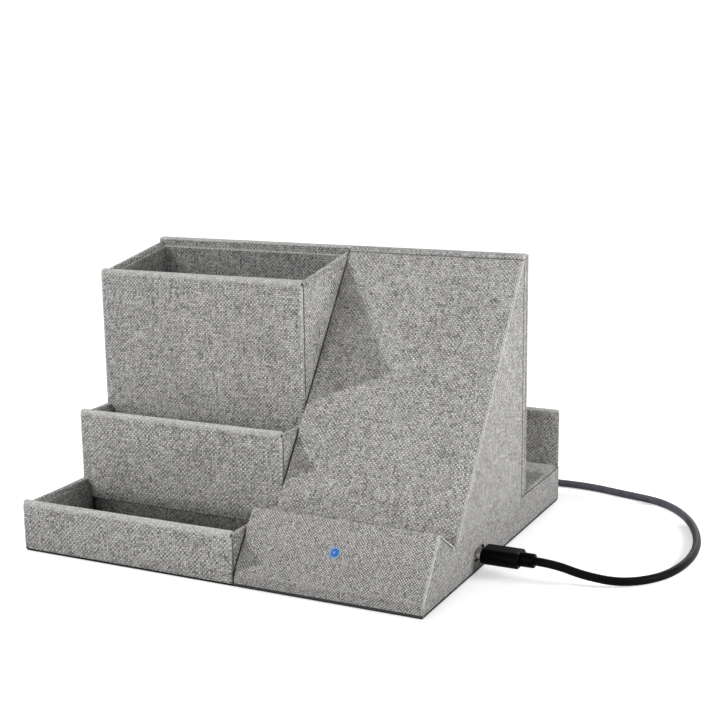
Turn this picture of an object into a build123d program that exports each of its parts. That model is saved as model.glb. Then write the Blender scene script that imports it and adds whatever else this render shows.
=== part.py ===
from build123d import *
import os
from math import asin, atan2, cos, degrees, pi, radians, sin, tan

# Desk organizer with a charging phone stand, in millimetres.
# X runs to the right, Y to the back and Z up. The origin is on the desk, under the middle of the base.
# Three stepped compartments stand on the left: a clip tray, a note box and a pen cup.
# A phone stand with a charging winding inside stands on the right, and a slot for a book runs behind both.

os.makedirs("parts", exist_ok=True)

# Overall size
width = 178.0
depth = 152.5
stand_height = 117.0
stand_width = 78.1
part_gap = 0.4

# Boards, the cloth facing on their outer sides, and the thin card that lines the compartments
board = 2.7
facing = 0.3
facing_inset = 1.8
fold_radius = 1.1
liner = 1.6
liner_drop = 1.6
liner_fold = 0.6
floor_pad = 1.2
base_board = 2.5

# Steps of the caddy, from the front
tray_bay = 40.0
note_bay = 19.5
tray_height = 21.4
note_height = 50.2
cup_height = 108.2
rim_step = 1.5

# Book slot behind both halves
stand_depth = 108.2
slot_height = 17.0
rear_wall_height = 42.0

# Phone stand: a short upright knee, the lip, the shelf that dips behind it, and the backrest
knee_height = 5.0
knee_radius = 4.0
lip_run = 15.6
lip_height = 27.0
shelf_run = 15.1
shelf_drop = 9.9
crest_seat = 0.9

# Black sheet under everything, and the base plate of the charger on it
sheet = 0.7
sheet_inset = 0.8
flange = 0.9
flange_inset = 0.3
pan = 1.6
pan_gap = 0.3
fit = 0.05
overrun = 1.0
touch = 0.01

# Glue blocks in the corners of the stand, and the screws that hold the base plate to them
block_width = 8.0
front_block_height = 6.0
rear_block_height = 12.0
front_block_setback = 8.0
base_screw_radius = 1.1
base_head_radius = 2.2
base_head_height = 1.3
base_screw_bite = 5.0

# Charging winding behind the backrest, in its carrier
winding_up_slope = 66.0
winding_turns = 9
wire_width = 1.15
wire_height = 1.2
wire_gap = 0.45
winding_edge = 1.25
ferrite_room = 13.05
ferrite_thickness = 0.8
carrier_floor = 1.6
carrier_wall = 2.0
carrier_corner = 4.0
ear_radius = 3.6
ear_reach = 2.6
carrier_screw_radius = 1.0
carrier_head_radius = 1.9
carrier_head_height = 1.1
carrier_screw_bite = 1.6
lead_diameter = 1.2
lead_spacing = 8.0
lead_bend = 4.0
notch_width = 13.0

# Circuit board and the parts on it
pcb = 1.2
pcb_side_room = 20.0
pcb_width = 38.0
pcb_gap = 0.4
pcb_corner = 1.5
boss_radius = 2.4
boss_inset = 3.6
board_screw_radius = 0.9
board_head_radius = 1.7
board_head_height = 1.1
board_screw_bite = 1.2
chip_size = 7.0
chip_height = 0.9
inductor_size = 6.6
inductor_height = 3.0
inductor_corner = 1.2
capacitor_length = 3.2
capacitor_width = 2.5
capacitor_height = 1.8
capacitor_count = 4
capacitor_pitch = 3.6

# Socket in the right side, and the hole for it
port_from_front = 53.9
port_height = 7.4
hole_width = 10.6
hole_height = 4.8
socket_width = 9.1
socket_height = 3.3
socket_length = 7.3
socket_wall = 0.3
socket_setback = 0.6
tongue_base = 1.1
tongue_length = 4.9
tongue_width = 6.7
tongue_thickness = 0.7

# Light in the lip
light_share = 0.53
guide_radius = 1.1
light_length = 1.6
light_width = 0.8
light_height = 0.6
light_board_length = 12.0
light_board_width = 8.0
light_board = 0.9
light_wire_diameter = 0.9
light_wire_spacing = 4.0
light_wire_bend = 2.0
light_wire_rise = 3.6
light_wire_landing = 2.4

# Cord, its small plug and the larger plug on its far end
cord_diameter = 3.3
shell_width = 8.25
shell_height = 2.4
shell_wall = 0.28
shell_length = 6.65
shell_root = 2.0
plug_stand_off = 2.1
grip_width = 11.5
grip_height = 6.2
grip_length = 15.1
grip_fold = 0.7
collar_diameter = 5.6
collar_length = 5.4
collar_fold = 0.5
far_grip_width = 15.6
far_grip_height = 7.8
far_grip_length = 21.0
far_grip_corner = 2.2
far_grip_fold = 0.8
far_shell_width = 12.0
far_shell_height = 4.5
far_shell_wall = 0.3
far_shell_length = 12.0
far_shell_root = 3.0
far_tongue_width = 11.0
far_tongue_thickness = 1.8
far_relief_length = 9.0
far_relief_root = 5.4

# Coil that the spare cord is wound into, and the strap round it
coil_x = -20.0
coil_y = 122.0
coil_outer_radius = 22.5
inward_half_turns = 5
coil_pitch = 3.8
tie_thickness = 0.6
tie_width = 9.0
tie_gap = 0.15
tie_slack = 1.8
tie_radius = 1.4

# Places worked out from the sizes above
left = -width / 2
right = width / 2
front = -depth / 2
rear = depth / 2
stand_left = right - stand_width
caddy_right = stand_left - part_gap
note_y = front + tray_bay
cup_y = note_y + note_bay
back_y = front + stand_depth
back_front = back_y - board
left_panel_x = left + facing
caddy_panel_x = caddy_right - facing - board
right_panel_x = right - facing - board
inner_left = left_panel_x + board
inner_right = caddy_panel_x
stand_inner_left = stand_left + board
stand_middle = (stand_left + right) / 2
tray_rim = tray_height - rim_step
note_rim = note_height - rim_step
cup_rim = cup_height - rim_step
back_rim = stand_height - rim_step
slot_under = slot_height - board
stand_foot = sheet + flange
floor_z = sheet + base_board
pan_top = stand_foot + pan
port_y = front + port_from_front
pcb_low = port_height - socket_height / 2 - pcb
pcb_top = pcb_low + pcb
wire_pitch = wire_width + wire_gap
ferrite_size = stand_width - 2 * ferrite_room
winding_span = (2 * winding_turns - 1) * wire_pitch / 2 + wire_width
winding_inner_radius = ferrite_size / 2 - winding_edge - winding_span
carrier_outside = ferrite_size + 2 * fit + 2 * carrier_wall
pcb_length = stand_width - 2 * board - facing - pcb_gap - pcb_side_room


def save(name, shape):
    """Write one piece of the organizer to its own file."""
    export_step(shape, f"parts/{name}.step")


def slab(low, high):
    """A square-edged block between two opposite corners."""
    size = Vector(high) - Vector(low)
    return Pos(Vector(low)) * Box(size.X, size.Y, size.Z, align=Align.MIN)


def plate_x(outline, x_low, thickness):
    """A board that stands front to back; its outline is in (Y, Z)."""
    return extrude(Plane.YZ.offset(x_low) * make_face(Polyline(outline, close=True)), thickness)


def plate_y(outline, y_low, thickness):
    """A board that stands left to right; its outline is in (X, Z)."""
    sheet_plane = Plane(origin=(0, y_low, 0), x_dir=(1, 0, 0), z_dir=(0, -1, 0))
    return extrude(sheet_plane * make_face(Polyline(outline, close=True)), -thickness)


def runs_back(edge):
    """True for an edge that runs more to the back than up or across."""
    way = edge.tangent_at(0)
    return abs(way.Y) > abs(way.X) + abs(way.Z)


def fold_rims(panel, above):
    """Round the cloth fold along the upper rims of a side panel."""
    return fillet([e for e in panel.edges() if runs_back(e) and e.center().Z > above], fold_radius)


def fold_front(panel, face_y, top, above):
    """Round the cloth folds round the outer face and the top of a cross panel."""
    def folded(edge):
        at = edge.center()
        return at.Z > above and (abs(at.Y - face_y) < touch or at.Z > top - touch)
    return fillet([e for e in panel.edges() if folded(e)], fold_radius)


def cup_rim_at(y):
    """Height of the pen cup's side rim, which rises from its front panel to the back."""
    share = (y - cup_y) / (back_y - cup_y)
    return cup_rim + share * (back_rim - cup_rim)


def stadium_bar(bar_width, bar_height, x_low, length, y, z):
    """A bar along X with a flat oval section, as on plugs and sockets."""
    section = SlotOverall(bar_width, bar_height)
    return extrude(Plane(origin=(x_low, y, z), x_dir=(0, 1, 0), z_dir=(1, 0, 0)) * section, length)


def rod(start, direction, radius, length):
    """A round rod from a point along a direction."""
    return extrude(Plane(origin=start, z_dir=direction) * Circle(radius), length)


# Caddy: one stepped outline serves both side panels and their facings.

def caddy_steps(front_y, step_set, end_y, end_z, low):
    """Stepped outline of the caddy's side, from its front to the pen cup's back."""
    return [
        (front_y, low),
        (front_y, tray_rim),
        (note_y + step_set, tray_rim),
        (note_y + step_set, note_rim),
        (cup_y + step_set, note_rim),
        (cup_y + step_set, cup_rim_at(cup_y + step_set)),
        (end_y, cup_rim_at(end_y)),
        (end_y, end_z),
    ]


def slot_side(low, end_y, top_z):
    """The low stretch of a side outline that runs under the book slot."""
    return [(end_y, top_z), (end_y, low)]


def facing_sheet(outline, x_low):
    """Cloth glued on the outer side of a panel, cut back from the folded edges."""
    sheet_face = offset(make_face(Polyline(outline, close=True)), -facing_inset, kind=Kind.INTERSECTION)
    return extrude(Plane.YZ.offset(x_low) * sheet_face, facing)


def caddy_panels():
    side = caddy_steps(front + board, board, back_front, slot_under, sheet)
    left_side = plate_x(side + slot_side(sheet, rear - board, slot_under), left_panel_x, board)
    save("left_side_panel", fold_rims(left_side, slot_height))
    short_side = caddy_steps(front + board, board, back_front, sheet, sheet)
    save("caddy_right_panel", fold_rims(plate_x(short_side, caddy_panel_x, board), slot_height))

    low = sheet - facing_inset
    outer = caddy_steps(front, 0, back_y, slot_height, low)
    save("left_side_facing", facing_sheet(outer + slot_side(low, rear, slot_height), left))
    short_outer = caddy_steps(front, 0, back_front + facing_inset, low, low)
    save("caddy_right_facing", facing_sheet(short_outer, caddy_right - facing))


def cross_panel(y_low, top, shoulder, foot):
    """A front panel that laps over the side panels above their rim and stands between them below it."""
    outer_left = left_panel_x
    outer_right = caddy_right - facing
    outline = [
        (inner_left, foot),
        (inner_left, shoulder),
        (outer_left, shoulder),
        (outer_left, top),
        (outer_right, top),
        (outer_right, shoulder),
        (inner_right, shoulder),
        (inner_right, foot),
    ]
    return fold_front(plate_y(outline, y_low, board), y_low, top, shoulder + touch)


def caddy_fronts():
    tray_front = slab((left_panel_x, front, sheet), (caddy_right - facing, front + board, tray_height))
    save("tray_front_panel", fold_front(tray_front, front, tray_height, 0))
    save("note_front_panel", cross_panel(note_y, note_height, tray_rim, floor_z))
    save("cup_front_panel", cross_panel(cup_y, cup_height, note_rim, floor_z))
    save("caddy_base_board", slab((inner_left, front + board, sheet), (inner_right, back_front, floor_z)))


def lining(y_low, y_high, rim_low, rim_high, y_wall):
    """Card that lines a compartment; y_wall is where its back wall starts, past y_high for none."""
    outline = [
        (y_low, floor_z),
        (y_low, rim_low - liner_drop),
        (y_high, rim_high - liner_drop),
        (y_high, floor_z),
    ]
    shell = plate_x(outline, inner_left, inner_right - inner_left)
    hollow_low = (inner_left + liner, y_low + liner, floor_z - overrun)
    shell -= slab(hollow_low, (inner_right - liner, y_wall, rim_high + overrun))
    rims = [e for e in shell.edges() if e.center().Z > rim_low - liner_drop - liner_fold]
    level = [e for e in rims if abs(e.tangent_at(0).Z) < abs(e.tangent_at(0).X) + abs(e.tangent_at(0).Y)]
    inside = [e for e in level if e.length > liner + touch]
    return fillet(inside, liner_fold)


def pad(y_low, y_high):
    """Cloth-covered card on the floor of a compartment, between its linings."""
    return slab((inner_left + liner, y_low, floor_z), (inner_right - liner, y_high, floor_z + floor_pad))


def linings():
    tray_low = front + board
    note_low = note_y + board
    cup_low = cup_y + board
    save("tray_liner", lining(tray_low, note_y, tray_rim, tray_rim, note_y + overrun))
    save("note_liner", lining(note_low, cup_y, note_rim, note_rim, cup_y + overrun))
    cup_rims = (cup_rim_at(cup_low), cup_rim_at(back_front))
    save("cup_liner", lining(cup_low, back_front, *cup_rims, back_front - liner))
    save("tray_floor_pad", pad(tray_low + liner, note_y))
    save("note_floor_pad", pad(note_low + liner, cup_y))
    save("cup_floor_pad", pad(cup_low + liner, back_front - liner))


# Back: one panel closes the pen cup and the stand, and the book slot lies behind it.

def back_boards():
    back_outline = [
        (inner_left, sheet),
        (inner_left, slot_under),
        (left_panel_x, slot_under),
        (left_panel_x, stand_height),
        (right - facing, stand_height),
        (right - facing, slot_under),
        (right_panel_x, slot_under),
        (right_panel_x, stand_foot),
        (stand_left, stand_foot),
        (stand_left, sheet),
    ]
    back = plate_y(back_outline, back_front, board)
    save("back_panel", fold_front(back, back_y, stand_height, slot_height))

    floor_low = (left_panel_x, back_y, slot_under)
    slot_floor = slab(floor_low, (right - facing, rear - board, slot_height))
    ends = [e for e in slot_floor.edges() if runs_back(e) and e.center().Z > slot_height - touch]
    save("slot_floor_board", fillet(ends, fold_radius))

    wall_outline = [
        (left_panel_x, sheet),
        (left_panel_x, rear_wall_height),
        (right - facing, rear_wall_height),
        (right - facing, stand_foot),
        (stand_left, stand_foot),
        (stand_left, sheet),
    ]
    wall = plate_y(wall_outline, rear - board, board)
    save("rear_wall_panel", fold_front(wall, rear, rear_wall_height, stand_foot + touch))
    save("rear_base_board", slab((inner_left, back_y, sheet), (stand_left, rear - board, floor_z)))
    sheet_low = (left + sheet_inset, front + sheet_inset, 0)
    save("base_sheet", slab(sheet_low, (right - sheet_inset, rear - sheet_inset, sheet)))


# Stand: its side outline, as points in (Y, Z), and the same lines moved in by a board's thickness.

def moved_in(start, end, distance):
    """The line through two points, moved to its right-hand side."""
    along = (end - start).normalized()
    side = Vector(along.Y, -along.X) * distance
    return start + side, end + side


def crossing(line, other):
    """Point where two lines cross."""
    start, way = line[0], line[1] - line[0]
    origin, across = other[0], other[1] - other[0]
    reach = (origin - start).cross(across).Z / way.cross(across).Z
    return start + way * reach


foot = Vector(front, stand_foot)
knee = Vector(front, knee_height)
ridge = Vector(front + lip_run, lip_height)
valley = ridge + Vector(shelf_run, -shelf_drop)
rest_seat = Vector(back_front, stand_height - crest_seat)
seat_line = rest_seat - valley
rest_angle = atan2(seat_line.Y, seat_line.X) + asin(board / seat_line.length)
rest_way = Vector(cos(rest_angle), sin(rest_angle))
crest = valley + rest_way * ((stand_height - valley.Y) / rest_way.Y)
lip_inner = moved_in(knee, ridge, board)
shelf_inner = moved_in(ridge, valley, board)
rest_inner = moved_in(valley, crest, board)
inner_foot = foot + Vector(board, 0)
inner_knee = crossing((inner_foot, inner_foot + Vector(0, board)), lip_inner)
lip_end = crossing(lip_inner, (ridge, valley))
shelf_front = crossing(lip_inner, shelf_inner)
shelf_back = crossing(shelf_inner, (valley, crest))
rest_bottom = crossing(shelf_inner, rest_inner)


def flat(points):
    """Plain (Y, Z) pairs of points."""
    return [(p.X, p.Y) for p in points]


def stand_boards():
    length = right - facing - stand_left
    lip = plate_x(flat([foot, knee, ridge, lip_end, inner_knee, inner_foot]), stand_left, length)
    bends = [(knee, knee_radius), (ridge, fold_radius)]
    for corner, radius in bends:
        def on_corner(edge, corner=corner):
            at = edge.center()
            return abs(at.Y - corner.X) < touch and abs(at.Z - corner.Y) < touch
        lip = fillet([e for e in lip.edges() if on_corner(e)], radius)
    light_at = light_plane().origin
    lip -= rod(light_at, light_plane().z_dir, guide_radius + fit, 2 * board)
    save("front_lip_board", lip)
    shelf = plate_x(flat([lip_end, valley, shelf_back, shelf_front]), stand_left, length)
    save("shelf_board", shelf)
    top = Vector(back_front, stand_height)
    backrest = plate_x(flat([shelf_back, crest, top, rest_seat, rest_bottom]), stand_left, length)
    crest_edges = [e for e in backrest.edges() if abs(e.center().Y - crest.X) < touch]
    backrest = fillet(crest_edges, fold_radius)
    save("backrest_board", backrest - rest_plane() * carrier_screw_set())


def stand_sides():
    inside = [inner_foot, inner_knee, shelf_front, rest_bottom, rest_seat]
    left_side = flat(inside + [Vector(back_front, stand_foot)])
    save("stand_left_panel", plate_x(left_side, stand_left, board))
    right_side = flat(inside) + [(back_front, slot_under)]
    right_side += slot_side(stand_foot, rear - board, slot_under)
    hole = stadium_bar(hole_width, hole_height, right - board - overrun, 2 * board, port_y, port_height)
    save("stand_right_panel", plate_x(right_side, right_panel_x, board) - hole)

    low = stand_foot - facing_inset
    outer = [(front, low)] + flat([knee, ridge, valley, crest])
    outer += [(back_y, stand_height), (back_y, slot_height)]
    outer += slot_side(low, rear, slot_height)
    save("right_side_facing", facing_sheet(outer, right - facing) - hole)


def block_places():
    """Low front corners of the glue blocks, and their heights."""
    places = []
    for x in (stand_inner_left, right_panel_x - block_width):
        places.append(((x, front + front_block_setback), front_block_height))
        places.append(((x, back_front - block_width), rear_block_height))
    return places


def board_corners():
    """Middles of the circuit board's four bosses."""
    x_high = right_panel_x - pcb_gap
    xs = (x_high - pcb_length + boss_inset, x_high - boss_inset)
    ys = (port_y - pcb_width / 2 + boss_inset, port_y + pcb_width / 2 - boss_inset)
    return [(x, y) for x in xs for y in ys]


def base_plate():
    flange_low = (stand_left, front + flange_inset, sheet)
    plate = slab(flange_low, (right - facing - flange_inset, rear - flange_inset, stand_foot))
    pan_low = (stand_inner_left + pan_gap, front + board + pan_gap, stand_foot)
    plate += slab(pan_low, (right_panel_x - pan_gap, back_front - pan_gap, pan_top))
    for x, y in board_corners():
        plate += rod((x, y, pan_top), (0, 0, 1), boss_radius, pcb_low - pan_top)
        plate -= rod((x, y, pcb_low - board_screw_bite), (0, 0, 1), board_screw_radius, 2 * pcb)
    blocks = Part()
    screws = Part()
    for (x, y), height in block_places():
        block = slab((x, y, pan_top), (x + block_width, y + block_width, pan_top + height))
        middle = (x + block_width / 2, y + block_width / 2, sheet)
        head = rod(middle, (0, 0, 1), base_head_radius, base_head_height)
        reach = pan_top - sheet + base_screw_bite
        shank = rod(middle, (0, 0, 1), base_screw_radius, reach)
        blocks += block - shank
        screws += head + shank
        plate -= rod(middle, (0, 0, 1), base_head_radius + fit, base_head_height)
        plate -= rod(middle, (0, 0, 1), base_screw_radius + fit, reach)
    save("charger_base_plate", plate)
    save("corner_blocks", blocks)
    save("base_screws", screws)


# Charger: everything on the backrest is placed on a plane that lies on the board's inner face.

def rest_plane():
    """Plane on the inside of the backrest: its z axis points into the stand, its y axis down the slope."""
    at = rest_inner[0] + rest_way * winding_up_slope
    inward = Vector(0, sin(rest_angle), -cos(rest_angle))
    return Plane(origin=(stand_middle, at.X, at.Y), x_dir=(1, 0, 0), z_dir=inward)


def light_plane():
    """Plane on the outside of the lip at the light: its z axis points into the stand."""
    at = knee + (ridge - knee) * light_share
    along = (ridge - knee).normalized()
    return Plane(origin=(stand_middle, at.X, at.Y), x_dir=(1, 0, 0), z_dir=(0, along.Y, -along.X))


def winding():
    """Flat winding of square wire: half rings whose middles take turns half a pitch apart."""
    wire = Sketch()
    for half in range(2 * winding_turns):
        radius = winding_inner_radius + half * wire_pitch / 2
        span = 2 * (radius + wire_pitch)
        ring = Circle(radius + wire_width) - Circle(radius)
        side = Rot(0, 0, 180 * (half % 2)) * Pos(0, span / 2) * Rectangle(span, span)
        wire += Pos(wire_pitch / 2 * (half % 2), 0) * (ring & side)
    return extrude(wire, wire_height)


def carrier_ears():
    """Middles of the carrier's four screw ears, on the backrest's plane."""
    ear_x = carrier_outside / 2 + ear_reach
    return [(x, y) for x in (-ear_x, ear_x) for y in (-carrier_outside / 4, carrier_outside / 4)]


def carrier():
    """Shallow tray that holds the winding and its ferrite against the backrest."""
    recess = ferrite_size + 2 * fit
    recess_depth = wire_height + ferrite_thickness
    outside = RectangleRounded(carrier_outside, carrier_outside, carrier_corner)
    tray = extrude(outside, recess_depth + carrier_floor)
    for x, y in carrier_ears():
        neck_x = x * (1 - ear_reach / abs(x))
        ear = Pos(x, y) * Circle(ear_radius) + Pos(neck_x, y) * Rectangle(2 * ear_reach, 2 * ear_radius)
        tray += extrude(ear, carrier_floor)
    tray -= extrude(Rectangle(recess, recess), recess_depth)
    tray -= Pos(0, carrier_outside / 2, 0) * Box(notch_width, 4 * carrier_wall, 2 * recess_depth)
    for x, y in carrier_ears():
        hole = extrude(Circle(carrier_screw_radius + fit), carrier_floor + 2 * overrun)
        tray -= Pos(x, y, -overrun) * hole
    return tray


def carrier_screw_set():
    """Screws through the carrier's ears into the backrest."""
    screws = Part()
    for x, y in carrier_ears():
        shank = extrude(Circle(carrier_screw_radius), carrier_screw_bite + carrier_floor)
        head = extrude(Circle(carrier_head_radius), carrier_head_height)
        screws += Pos(x, y, -carrier_screw_bite) * shank + Pos(x, y, carrier_floor) * head
    return screws


def charger_on_backrest():
    plane = rest_plane()
    save("charging_coil", plane * winding())
    ferrite = extrude(Rectangle(ferrite_size, ferrite_size), ferrite_thickness)
    save("ferrite_sheet", plane * Pos(0, 0, wire_height) * ferrite)
    save("coil_carrier", plane * carrier())
    save("carrier_screws", plane * carrier_screw_set())


def wire_tube(points, diameter, bend):
    """A round wire along a path of straight runs with the same small bend at each corner."""
    path = FilletPolyline(points, radius=bend)
    start = Plane(origin=path @ 0, z_dir=path % 0)
    return sweep(start * Circle(diameter / 2), path=path)


def charger_leads():
    """The two ends of the winding, led down the backrest to the circuit board."""
    plane = rest_plane()
    winding_low = winding_inner_radius + (winding_turns - 1) * wire_pitch + wire_width
    leads = Part()
    for side in (-1, 1):
        x = side * lead_spacing / 2
        start = plane.from_local_coords((x, winding_low, lead_diameter / 2))
        turn = plane.from_local_coords((x, carrier_outside / 2 + 2 * lead_bend, lead_diameter / 2))
        down_y = port_y + pcb_width / 2 - boss_inset
        down = Vector(turn.X, down_y, turn.Z - 2 * lead_bend)
        end = Vector(turn.X, down_y, pcb_top)
        leads += wire_tube([start, turn, down, end], lead_diameter, lead_bend)
    save("coil_leads", leads)


def circuit_board():
    x_high = right_panel_x - pcb_gap
    middle = (x_high - pcb_length / 2, port_y, pcb_low)
    card = Pos(middle) * extrude(RectangleRounded(pcb_length, pcb_width, pcb_corner), pcb)
    screws = Part()
    for x, y in board_corners():
        low = (x, y, pcb_low - board_screw_bite)
        shank = rod(low, (0, 0, 1), board_screw_radius, board_screw_bite + pcb)
        head = rod((x, y, pcb_top), (0, 0, 1), board_head_radius, board_head_height)
        card -= shank
        screws += shank + head
    save("charger_board", card)
    save("board_screws", screws)

    chip_x = x_high - pcb_length / 2
    chip = Pos(chip_x, port_y, pcb_top + chip_height / 2) * Box(chip_size, chip_size, chip_height)
    save("control_chip", chip)
    inductor = extrude(RectangleRounded(inductor_size, inductor_size, inductor_corner), inductor_height)
    save("power_inductor", Pos(chip_x - 2 * chip_size, port_y, pcb_top) * inductor)
    capacitors = Part()
    for index in range(capacitor_count):
        x = chip_x + (index - (capacitor_count - 1) / 2) * capacitor_pitch
        block = Box(capacitor_width, capacitor_length, capacitor_height)
        capacitors += Pos(x, port_y - chip_size - capacitor_length, pcb_top + capacitor_height / 2) * block
    save("tuning_capacitors", capacitors)


def socket():
    mouth = right - socket_setback
    back = mouth - socket_length
    shell = stadium_bar(socket_width, socket_height, back, socket_length, port_y, port_height)
    bore_width = socket_width - 2 * socket_wall
    bore_height = socket_height - 2 * socket_wall
    through = socket_length + 2 * overrun
    shell -= stadium_bar(bore_width, bore_height, back - overrun, through, port_y, port_height)
    save("socket_shell", shell)
    tongue = stadium_bar(bore_width, bore_height, back, tongue_base, port_y, port_height)
    blade_size = (tongue_base + tongue_length, tongue_width, tongue_thickness)
    blade = Box(*blade_size, align=(Align.MIN, Align.CENTER, Align.CENTER))
    save("socket_tongue", tongue + Pos(back, port_y, port_height) * blade)


def light():
    plane = light_plane()
    guide_length = board - light_height - fit
    save("light_guide", plane * extrude(Circle(guide_radius), guide_length))
    lamp = Pos(0, 0, board - light_height / 2) * Box(light_length, light_width, light_height)
    save("status_light", plane * lamp)
    card = Pos(0, 0, board + light_board / 2) * Box(light_board_length, light_board_width, light_board)
    save("light_board", plane * card)
    wires = Part()
    for side in (-1, 1):
        x = side * light_wire_spacing / 2
        start = plane.from_local_coords((x, 0, board + light_board))
        out = plane.from_local_coords((x, 0, board + light_board + light_wire_rise))
        land_y = port_y - pcb_width / 2 + light_wire_landing
        over = Vector(out.X, land_y, pcb_top + light_wire_rise)
        end = Vector(out.X, land_y, pcb_top)
        wires += wire_tube([start, out, over, end], light_wire_diameter, light_wire_bend)
    save("light_wires", wires)


# Small plug: its shell stands in the socket, and it pulls straight out to the right.

def small_plug():
    grip_x = right + plug_stand_off
    tip_x = grip_x - shell_length
    shell_reach = shell_length + shell_root
    shell = stadium_bar(shell_width, shell_height, tip_x, shell_reach, port_y, port_height)
    bore = (shell_width - 2 * shell_wall, shell_height - 2 * shell_wall)
    shell -= stadium_bar(*bore, tip_x - overrun, shell_reach + 2 * overrun, port_y, port_height)
    save("plug_shell", shell)

    grip = stadium_bar(grip_width, grip_height, grip_x, grip_length, port_y, port_height)
    grip = fillet(grip.faces().filter_by(Axis.X).edges(), grip_fold)
    root = shell_root + overrun
    grip -= stadium_bar(shell_width, shell_height, grip_x - overrun, root, port_y, port_height)
    save("plug_grip", grip)
    collar_x = grip_x + grip_length
    collar = rod((collar_x, port_y, port_height), (1, 0, 0), collar_diameter / 2, collar_length)
    collar = fillet(collar.faces().sort_by(Axis.X)[-1].edges(), collar_fold)
    save("plug_strain_relief", collar)


# Cord: the free stretch follows points chosen by hand, from the strain relief to the coil.

cord_radius = cord_diameter / 2
coil_low = tie_thickness + 2 * tie_gap / 3 + cord_radius
lead_start = (right + plug_stand_off + grip_length + collar_length, port_y, port_height)
lead_end = (coil_x + cord_diameter, coil_y - coil_outer_radius, coil_low)
cord_route = [
    lead_start,
    (119.5, -22.35, 7.3),
    (130.5, -21.2, 4.1),
    (143.5, -16.6, 1.65),
    (155.5, -5.0, 1.65),
    (160.7, 13.5, 1.65),
    (160.4, 34.5, 1.65),
    (155.0, 55.0, 1.65),
    (146.0, 73.5, 1.65),
    (133.0, 87.0, 1.65),
    (114.5, 91.6, 1.65),
    (96.0, 96.8, 1.65),
    (77.0, 96.2, 1.65),
    (58.0, 98.4, 1.65),
    (40.5, 97.0, 1.65),
    (22.5, 98.2, 1.65),
    (3.5, 99.5, coil_low),
    lead_end,
]


def bend_radii(points):
    """Largest even arc at each corner: 0.45 of the shorter run over the tangent of half the turn."""
    radii = []
    for before, at, after in zip(points, points[1:], points[2:]):
        run_in = Vector(at) - Vector(before)
        run_out = Vector(after) - Vector(at)
        half_turn = radians(run_in.get_angle(run_out)) / 2
        radii.append(0.45 * min(run_in.length, run_out.length) / tan(half_turn))
    return radii


def cord_tube(name, points):
    """A round cord along its route; prints how tight its bends are and whether its volume is right."""
    radii = bend_radii(points)
    path = FilletPolyline(points, radius=radii)
    start = Plane(origin=path @ 0, z_dir=path % 0)
    tube = sweep(start * Circle(cord_radius), path=path)
    expected = pi * cord_radius ** 2 * path.length
    print(name, "length", round(path.length, 1), "radii", [round(r, 1) for r in radii])
    print(name, "volume over section times length", round(tube.volume / expected, 4))
    save(name, tube)


def coil_arcs():
    """Arcs of the coil: half rings that spiral in, climb a layer in the tightest half, and spiral out."""
    halves = 2 * inward_half_turns + 1
    near = Vector(coil_x, coil_y - coil_outer_radius, coil_low)
    way = Vector(-1, 0, 0)
    arcs = []
    for half in range(halves):
        steps = min(half, halves - 1 - half)
        radius = coil_outer_radius - steps * coil_pitch / 2
        rise = coil_pitch if half == inward_half_turns else 0
        across = Vector(0, 2 * radius * (1 if half % 2 == 0 else -1), rise)
        far = near + across
        bulge = (near + far) / 2 + way * (across.length / 2)
        arcs.append(TangentArc(near, bulge, tangent=way))
        arcs.append(TangentArc(bulge, far, tangent=across))
        near = far
        way = way * -1
    return arcs, near, way


def coil():
    """The wound coil; prints the least gap between its turns, measured on points."""
    arcs, end, way = coil_arcs()
    tail = end + way * cord_diameter
    path = Wire([Line(lead_end, arcs[0] @ 0).edge()] + [a.edge() for a in arcs] + [Line(end, tail).edge()])
    start = Plane(origin=path @ 0, z_dir=path % 0)
    tube = sweep(start * Circle(cord_radius), path=path)
    samples = 720
    points = [path @ (i / samples) for i in range(samples + 1)]
    apart = int(samples * 3 * cord_diameter / path.length)
    pairs = [(i, j) for i in range(samples + 1) for j in range(i + apart, samples + 1)]
    nearest = min((points[i] - points[j]).length for i, j in pairs)
    expected = pi * cord_radius ** 2 * path.length
    print("coil length", round(path.length, 1), "least gap", round(nearest - cord_diameter, 2))
    print("coil volume over section times length", round(tube.volume / expected, 4))
    save("cord_coil", tube)
    return tail


def tie():
    """Strap round the coil's left side."""
    bundle_left = coil_x - coil_outer_radius - cord_radius
    bundle_right = coil_x - coil_outer_radius + (inward_half_turns - 1) * coil_pitch / 2 + cord_radius
    inner_low = Vector(bundle_left - tie_gap, tie_thickness)
    inner_high = Vector(bundle_right + tie_slack, coil_low + coil_pitch + cord_radius + tie_gap)
    size = inner_high - inner_low
    middle = (inner_low + inner_high) / 2
    outer = RectangleRounded(size.X + 2 * tie_thickness, size.Y + 2 * tie_thickness, tie_radius)
    band = outer - RectangleRounded(size.X, size.Y, tie_radius - tie_thickness)
    at_y = coil_y + coil_pitch / 2
    plane = Plane(origin=(middle.X, at_y + tie_width / 2, middle.Y), x_dir=(-1, 0, 0), z_dir=(0, 1, 0))
    save("cord_tie", extrude(plane * band, -tie_width))


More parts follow.
